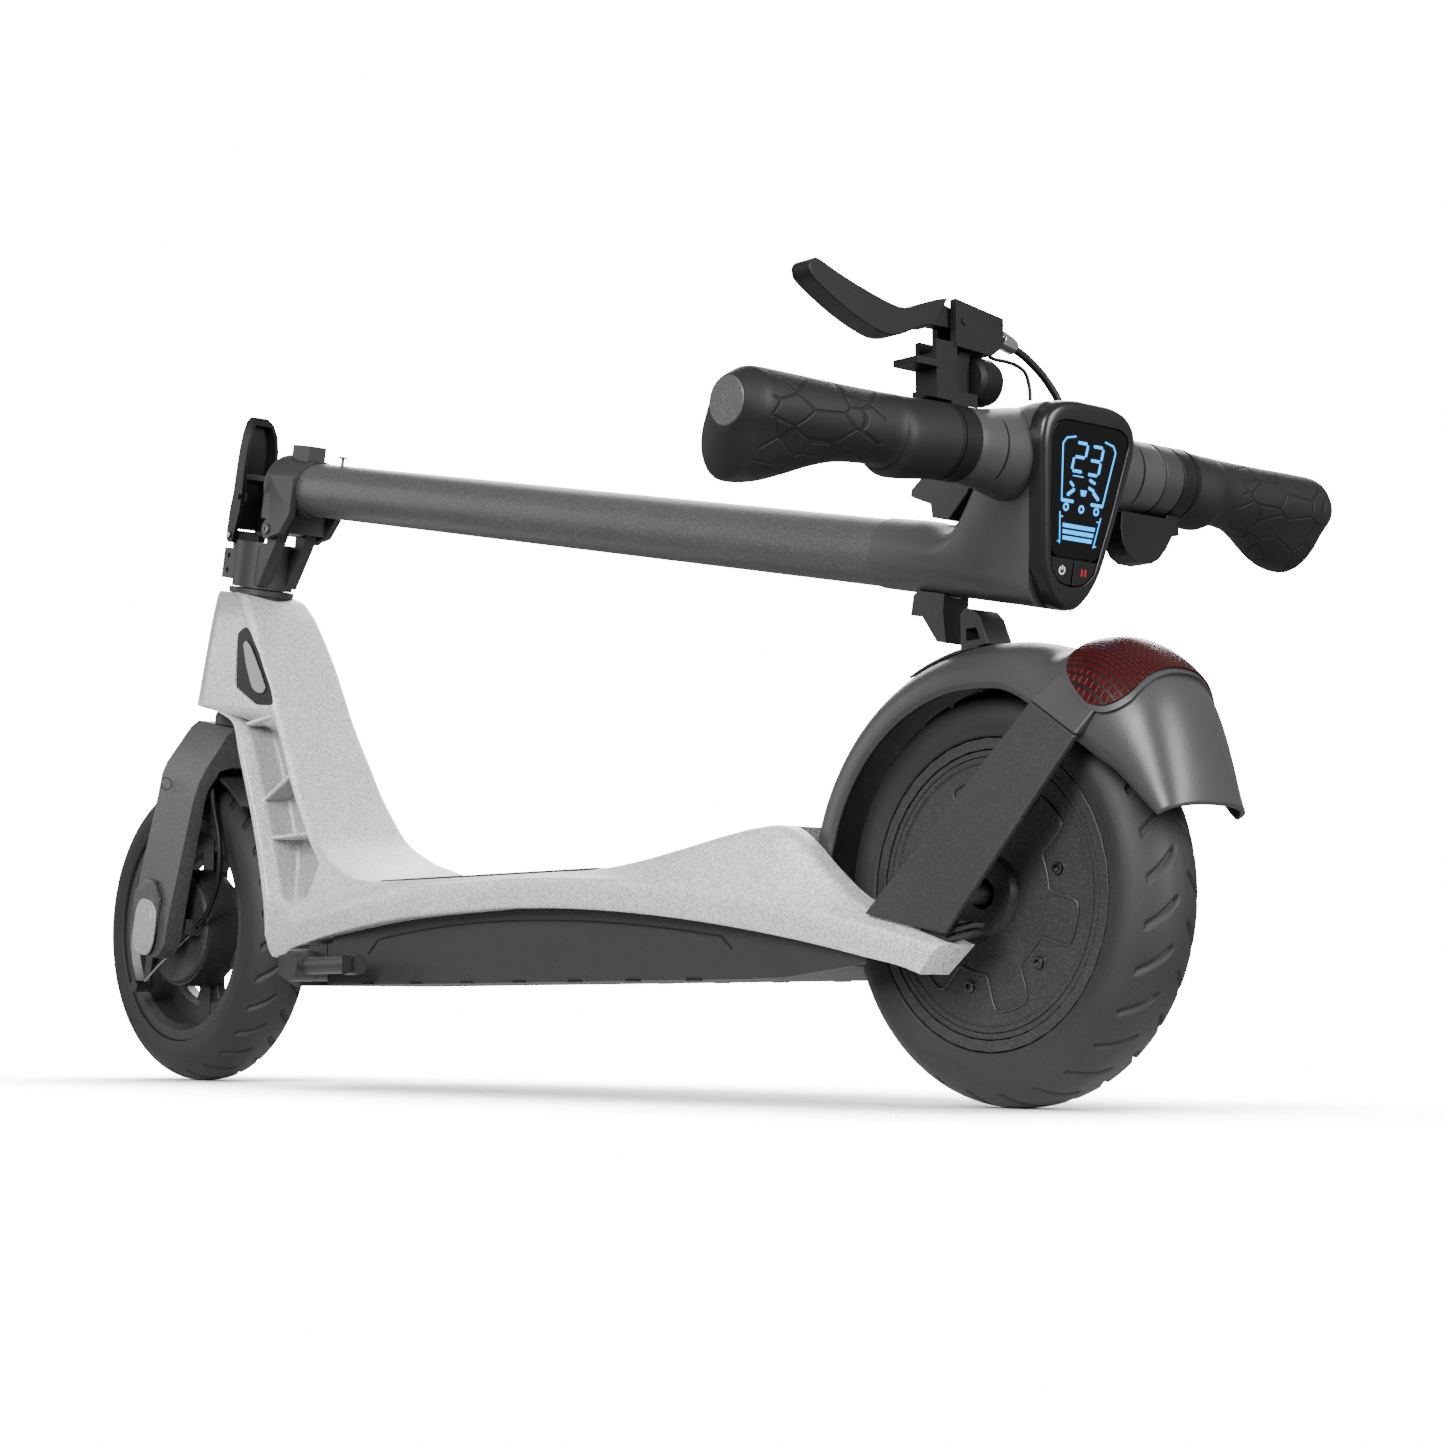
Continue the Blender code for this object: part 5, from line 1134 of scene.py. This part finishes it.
def mark(name, outline, material="cyan", body="stem", low=None, high=None):
    # outline of (forward, side)
    flat = [(-f, y) for f, y in outline]
    piece = slab(name, flat, low or marks["low"], high or marks["high"], body, material, foldFrame,
                 axis="Z")
    return piece


def bar(start, end, wide):
    start, end = Vector(start), Vector(end)
    side = (end - start).normalized().orthogonal() * wide / 2
    tip = (end - start).normalized() * wide * 0.35
    return [tuple(p) for p in (start - tip, start + side, end + side, end + tip, end - side, start - side)]


def digit(name, centre, lit):
    w, h, t = marks["digitWide"] / 2, marks["digitTall"] / 2, marks["thick"]
    corners = {"tl": (h, -w), "tr": (h, w), "ml": (0, -w), "mr": (0, w), "bl": (-h, -w), "br": (-h, w)}
    spans = {"a": ("tl", "tr"), "b": ("tr", "mr"), "c": ("mr", "br"), "d": ("br", "bl"), "e": ("bl", "ml"),
             "f": ("ml", "tl"), "g": ("ml", "mr")}
    for key in lit:
        ends = []
        for corner in spans[key]:
            f, y = corners[corner]
            ends.append(Vector((centre[0] + f, centre[1] + y + f * marks["slant"])))
        reach = (ends[1] - ends[0]) * 0.14
        mark(f"{name}_{key}", bar(ends[0] + reach, ends[1] - reach, t))


def ringMark(name, centre, outer, inner, material="cyan", body="stem", gap=0.0, **more):
    steps = 28
    turns = [gap / 2 + (2 * pi - gap) * k / steps for k in range(steps + 1)]
    outline = [(centre[0] + outer * cos(a), centre[1] + outer * sin(a)) for a in turns]
    outline += [(centre[0] + inner * cos(a), centre[1] + inner * sin(a)) for a in turns[::-1]]
    return mark(name, outline, material, body, **more)


def makeMarks():
    digit("speed_tens", (0.1036, -0.0072), "abged")
    digit("speed_units", (0.1030, 0.0066), "abgcd")
    for way, name in ((-1, "left"), (1, "right")):
        sides = [(0.1150, 0.0130), (0.1135, 0.0205), (0.1100, 0.0232), (0.0775, 0.0180), (0.0775, 0.0080)]
        for k, (one, two) in enumerate(zip(sides, sides[1:])):
            wide = 0.0020 if k == 3 else 0.0011
            mark(f"frame_{name}_{k}", bar((one[0], way * one[1]), (two[0], way * two[1]), wide))
        mark(f"ray_{name}", bar((0.0810, way * 0.0135), (0.0845, way * 0.0085), 0.0022))
        gauge = [(0.0705, 0.0180), (0.0525, 0.0148)]
        mark(f"gauge_side_{name}", bar(*[(f, way * y) for f, y in gauge], 0.0009))
        for k, f in enumerate((0.0680, 0.0535)):
            mark(f"gauge_tick_{name}_{k}", bar((f, way * 0.0170), (f, way * 0.0150), 0.0008))
    for k, (f, half) in enumerate(((0.0632, 0.0142), (0.0596, 0.0136), (0.0560, 0.0129))):
        mark(f"gauge_bar_{k}", [(f + 0.0012, -half), (f + 0.0012, half), (f - 0.0012, half * 0.98),
                                (f - 0.0012, -half * 0.98)])
    mark("sign_middle", [(0.0850, -0.0028), (0.0850, 0.0028), (0.0815, 0.0018), (0.0815, -0.0018)])
    mark("sign_line", bar((0.0925, -0.0110), (0.0925, -0.0020), 0.0007))
    for k in range(2):
        mark(f"sign_dash_{k}", bar((0.0915 - 0.0046 * k, 0.0040), (0.0900 - 0.0046 * k, 0.0088), 0.0018))
    mark("sign_small", bar((0.0885, -0.0125), (0.0865, -0.0095), 0.0018))
    for k, y in enumerate((-0.0135, 0.0, 0.0132)):
        ringMark(f"sign_round_{k}", (0.0738, y), 0.0025, 0.0012)
    # signs on the tops of the two buttons
    top = 0.8386 + 0.0018
    heights = {"low": top - 0.0001, "high": top + 0.0002}
    ringMark("power_ring", (0.0370, -0.0096), 0.0027, 0.0018, "white", "power_key", radians(70), **heights)
    mark("power_line", bar((0.0374, -0.0096), (0.0398, -0.0096), 0.0009), "white", "power_key", **heights)
    for k in range(2):
        mark(f"mode_mark_{k}", bar((0.0352, 0.0078 + 0.0030 * k), (0.0388, 0.0078 + 0.0030 * k), 0.0015),
             "redMark", "mode_key", **heights)
    print("marks made")


# ---- grips and the brake lever
gripStations = [
    # distance out, radius, drop, wing
    (0.1300, 0.0234, 0.0026, 0.0), (0.1385, 0.0226, 0.0018, 0.0), (0.1440, 0.0207, 0.0, 0.0),
    (0.1600, 0.0205, 0.0, 0.0006), (0.1760, 0.0205, 0.0, 0.0030), (0.1920, 0.0206, 0.0, 0.0085),
    (0.2080, 0.0208, 0.0, 0.0155), (0.2240, 0.0210, 0.0, 0.0215), (0.2380, 0.0210, 0.0, 0.0240),
    (0.2460, 0.0204, 0.0, 0.0225), (0.2530, 0.0170, 0.0, 0.0110), (0.2572, 0.0144, 0.0, 0.0)]


def makeGrips():
    wing = atan2(-0.035, -0.027)  # which way the palm rest points
    for side, name, inner in ((-1, "left", 0.0948), (1, "right", 0.1110)):
        stations = [(inner, 0.0222, 0.0, 0.0)] + gripStations
        rings = []
        for out, radius, drop, lobe in spread(stations, 5):
            ring = []
            for a in aroundTurn(72):
                r = radius + max(0.0, lobe) * max(0.0, cos(a - wing)) ** 2.5
                ring.append((r * cos(a), side * out, r * sin(a) - drop))
            rings.append(ring)
        body = skin(f"grip_moulded_{name}", rings, "stem", "grip", barFrame, sharp=38)
        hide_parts(f"grip_{name}")
        endTurns = [(0.0, 0.2560), (0.0138, 0.2560), (0.0138, 0.2574), (0.0132, 0.2580), (0.0, 0.2580)]
        end = lathe(f"grip_end_{name}", [(r, -side * out) for r, out in endTurns], "stem", "satin", barFrame,
                    64, closed=False)
        for k, y in enumerate((inner + 0.0016, 0.1400)):
            ring = lathe(f"grip_collar_{name}_{k}", [
                (0.0200, -side * y + 0.0012), (0.0226 if k == 0 else 0.0216, -side * y + 0.0010),
                (0.0226 if k == 0 else 0.0216, -side * y - 0.0010), (0.0200, -side * y - 0.0012)],
                "stem", "black", barFrame @ Matrix.Translation((0, 0, 0 if k == 0 else -0.0010)), 64)
    print("grips made")


leverBlade = [(-0.0940, 0.0820), (-0.1020, 0.0800), (-0.1113, 0.0768), (-0.1200, 0.0735), (-0.1275, 0.0708),
              (-0.1400, 0.0712), (-0.1638, 0.0768), (-0.1800, 0.0815), (-0.1915, 0.0855), (-0.1980, 0.0872),
              (-0.2025, 0.0845), (-0.2030, 0.0795), (-0.1991, 0.0750), (-0.1850, 0.0672), (-0.1717, 0.0610),
              (-0.1560, 0.0555), (-0.1436, 0.0530), (-0.1330, 0.0545), (-0.1236, 0.0585), (-0.1130, 0.0631),
              (-0.1050, 0.0640)]
leverRoot = [(-0.0800, 0.0740), (-0.0840, 0.0765), (-0.0980, 0.0800), (-0.1040, 0.0780), (-0.1040, 0.0650),
             (-0.0880, 0.0655), (-0.0800, 0.0660), (-0.0775, 0.0700)]


def makeLever():
    curve = through([(y, z, 0) for y, z in leverBlade], 100)
    outline = [(p.x, p.y) for p in curve]
    blade = slab("lever_blade", outline, -0.0075, 0.0075, "brake", "black", barFrame, axis="X")
    bevel(blade, 0.0036, 4, 50)
    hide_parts("brake_lever")
    root = slab("lever_root", smoothOutline(leverRoot, 0.002), -0.0042, 0.0042, "brake", "black", barFrame,
                axis="X", soften=0.0008)
    print("lever made")


# ---- floor with a painted contact shadow, sky, lights
def makeStage():
    bm = bmesh.new()
    bmesh.ops.create_circle(bm, cap_ends=True, segments=96, radius=look["floorRadius"])
    for face in bm.faces:
        if face.normal.z < 0:
            face.normal_flip()
    mesh = bpy.data.meshes.new("floor")
    bm.to_mesh(mesh)
    bm.free()
    floor = bpy.data.objects.new("floor", mesh)
    bpy.context.scene.collection.objects.link(floor)
    s = Surface("floor_white", (0.93, 0.93, 0.93), 0.8)
    x, y, z = s.parts(s.place())
    away = (x * x + y * y).maths("SQRT")
    # painted contact shadow: where ambient occlusion finds parts close above, the floor turns from
    # see-through to its pale diffuse surface, darker than the sky behind
    clear = s.make("BsdfTransparent")
    join = s.tree.nodes.new("ShaderNodeMixShader")
    near = s.tree.nodes.new("ShaderNodeAmbientOcclusion")
    near.samples = 8
    near.inputs["Distance"].default_value = 0.22
    unshaded = Wire(s.tree, near.outputs["AO"]).maths("POWER", 5.0)
    connect(s.tree, (unshaded + away.step(0.75, look["floorFade"])).clamp(), join.inputs[0])
    s.tree.links.new(s.shader.outputs[0], join.inputs[1])
    s.tree.links.new(clear.socket, join.inputs[2])
    s.tree.links.new(join.outputs[0], s.tree.nodes["Material Output"].inputs[0])
    mesh.materials.append(s.material)

    world = bpy.data.worlds.new("studio")
    bpy.context.scene.world = world
    world.use_nodes = True
    tree = world.node_tree
    sky = tree.nodes["Background"]
    sky.inputs["Color"].default_value = (1, 1, 1, 1)
    seen = tree.nodes.new("ShaderNodeBackground")
    seen.inputs["Color"].default_value = (1, 1, 1, 1)
    sky.inputs["Strength"].default_value = look["skyForObject"]
    seen.inputs["Strength"].default_value = look["skyForCamera"]
    path = tree.nodes.new("ShaderNodeLightPath")
    join = tree.nodes.new("ShaderNodeMixShader")
    tree.links.new(path.outputs["Is Camera Ray"], join.inputs[0])
    tree.links.new(sky.outputs[0], join.inputs[1])
    tree.links.new(seen.outputs[0], join.inputs[2])
    tree.links.new(join.outputs[0], tree.nodes["World Output"].inputs[0])


lights = {
    "key": ((1.1, -2.3, 1.3), (0, 0, 0.2), (1.3, 1.3), 120),
    "side": ((2.6, 0.3, 0.9), (0.2, 0, 0.2), (1.0, 1.6), 75),
    "back": ((-1.4, 1.8, 1.8), (0, 0, 0.3), (2.2, 1.2), 70),
    "front": ((-2.2, -1.2, 1.0), (-0.3, 0, 0.25), (1.0, 1.4), 9),
}

makeCamera()
makeStage()
for name, (place, target, size, power) in lights.items():
    areaLight(name, place, target, size, power)
dressAll()
makeCasting()
makeTyres()
makeMotor()
makeFender()
makeStays()
makeSkirts()
makeHardware()
makeFrontRing()
makeHead()
makeMarks()
makeGrips()
makeLever()
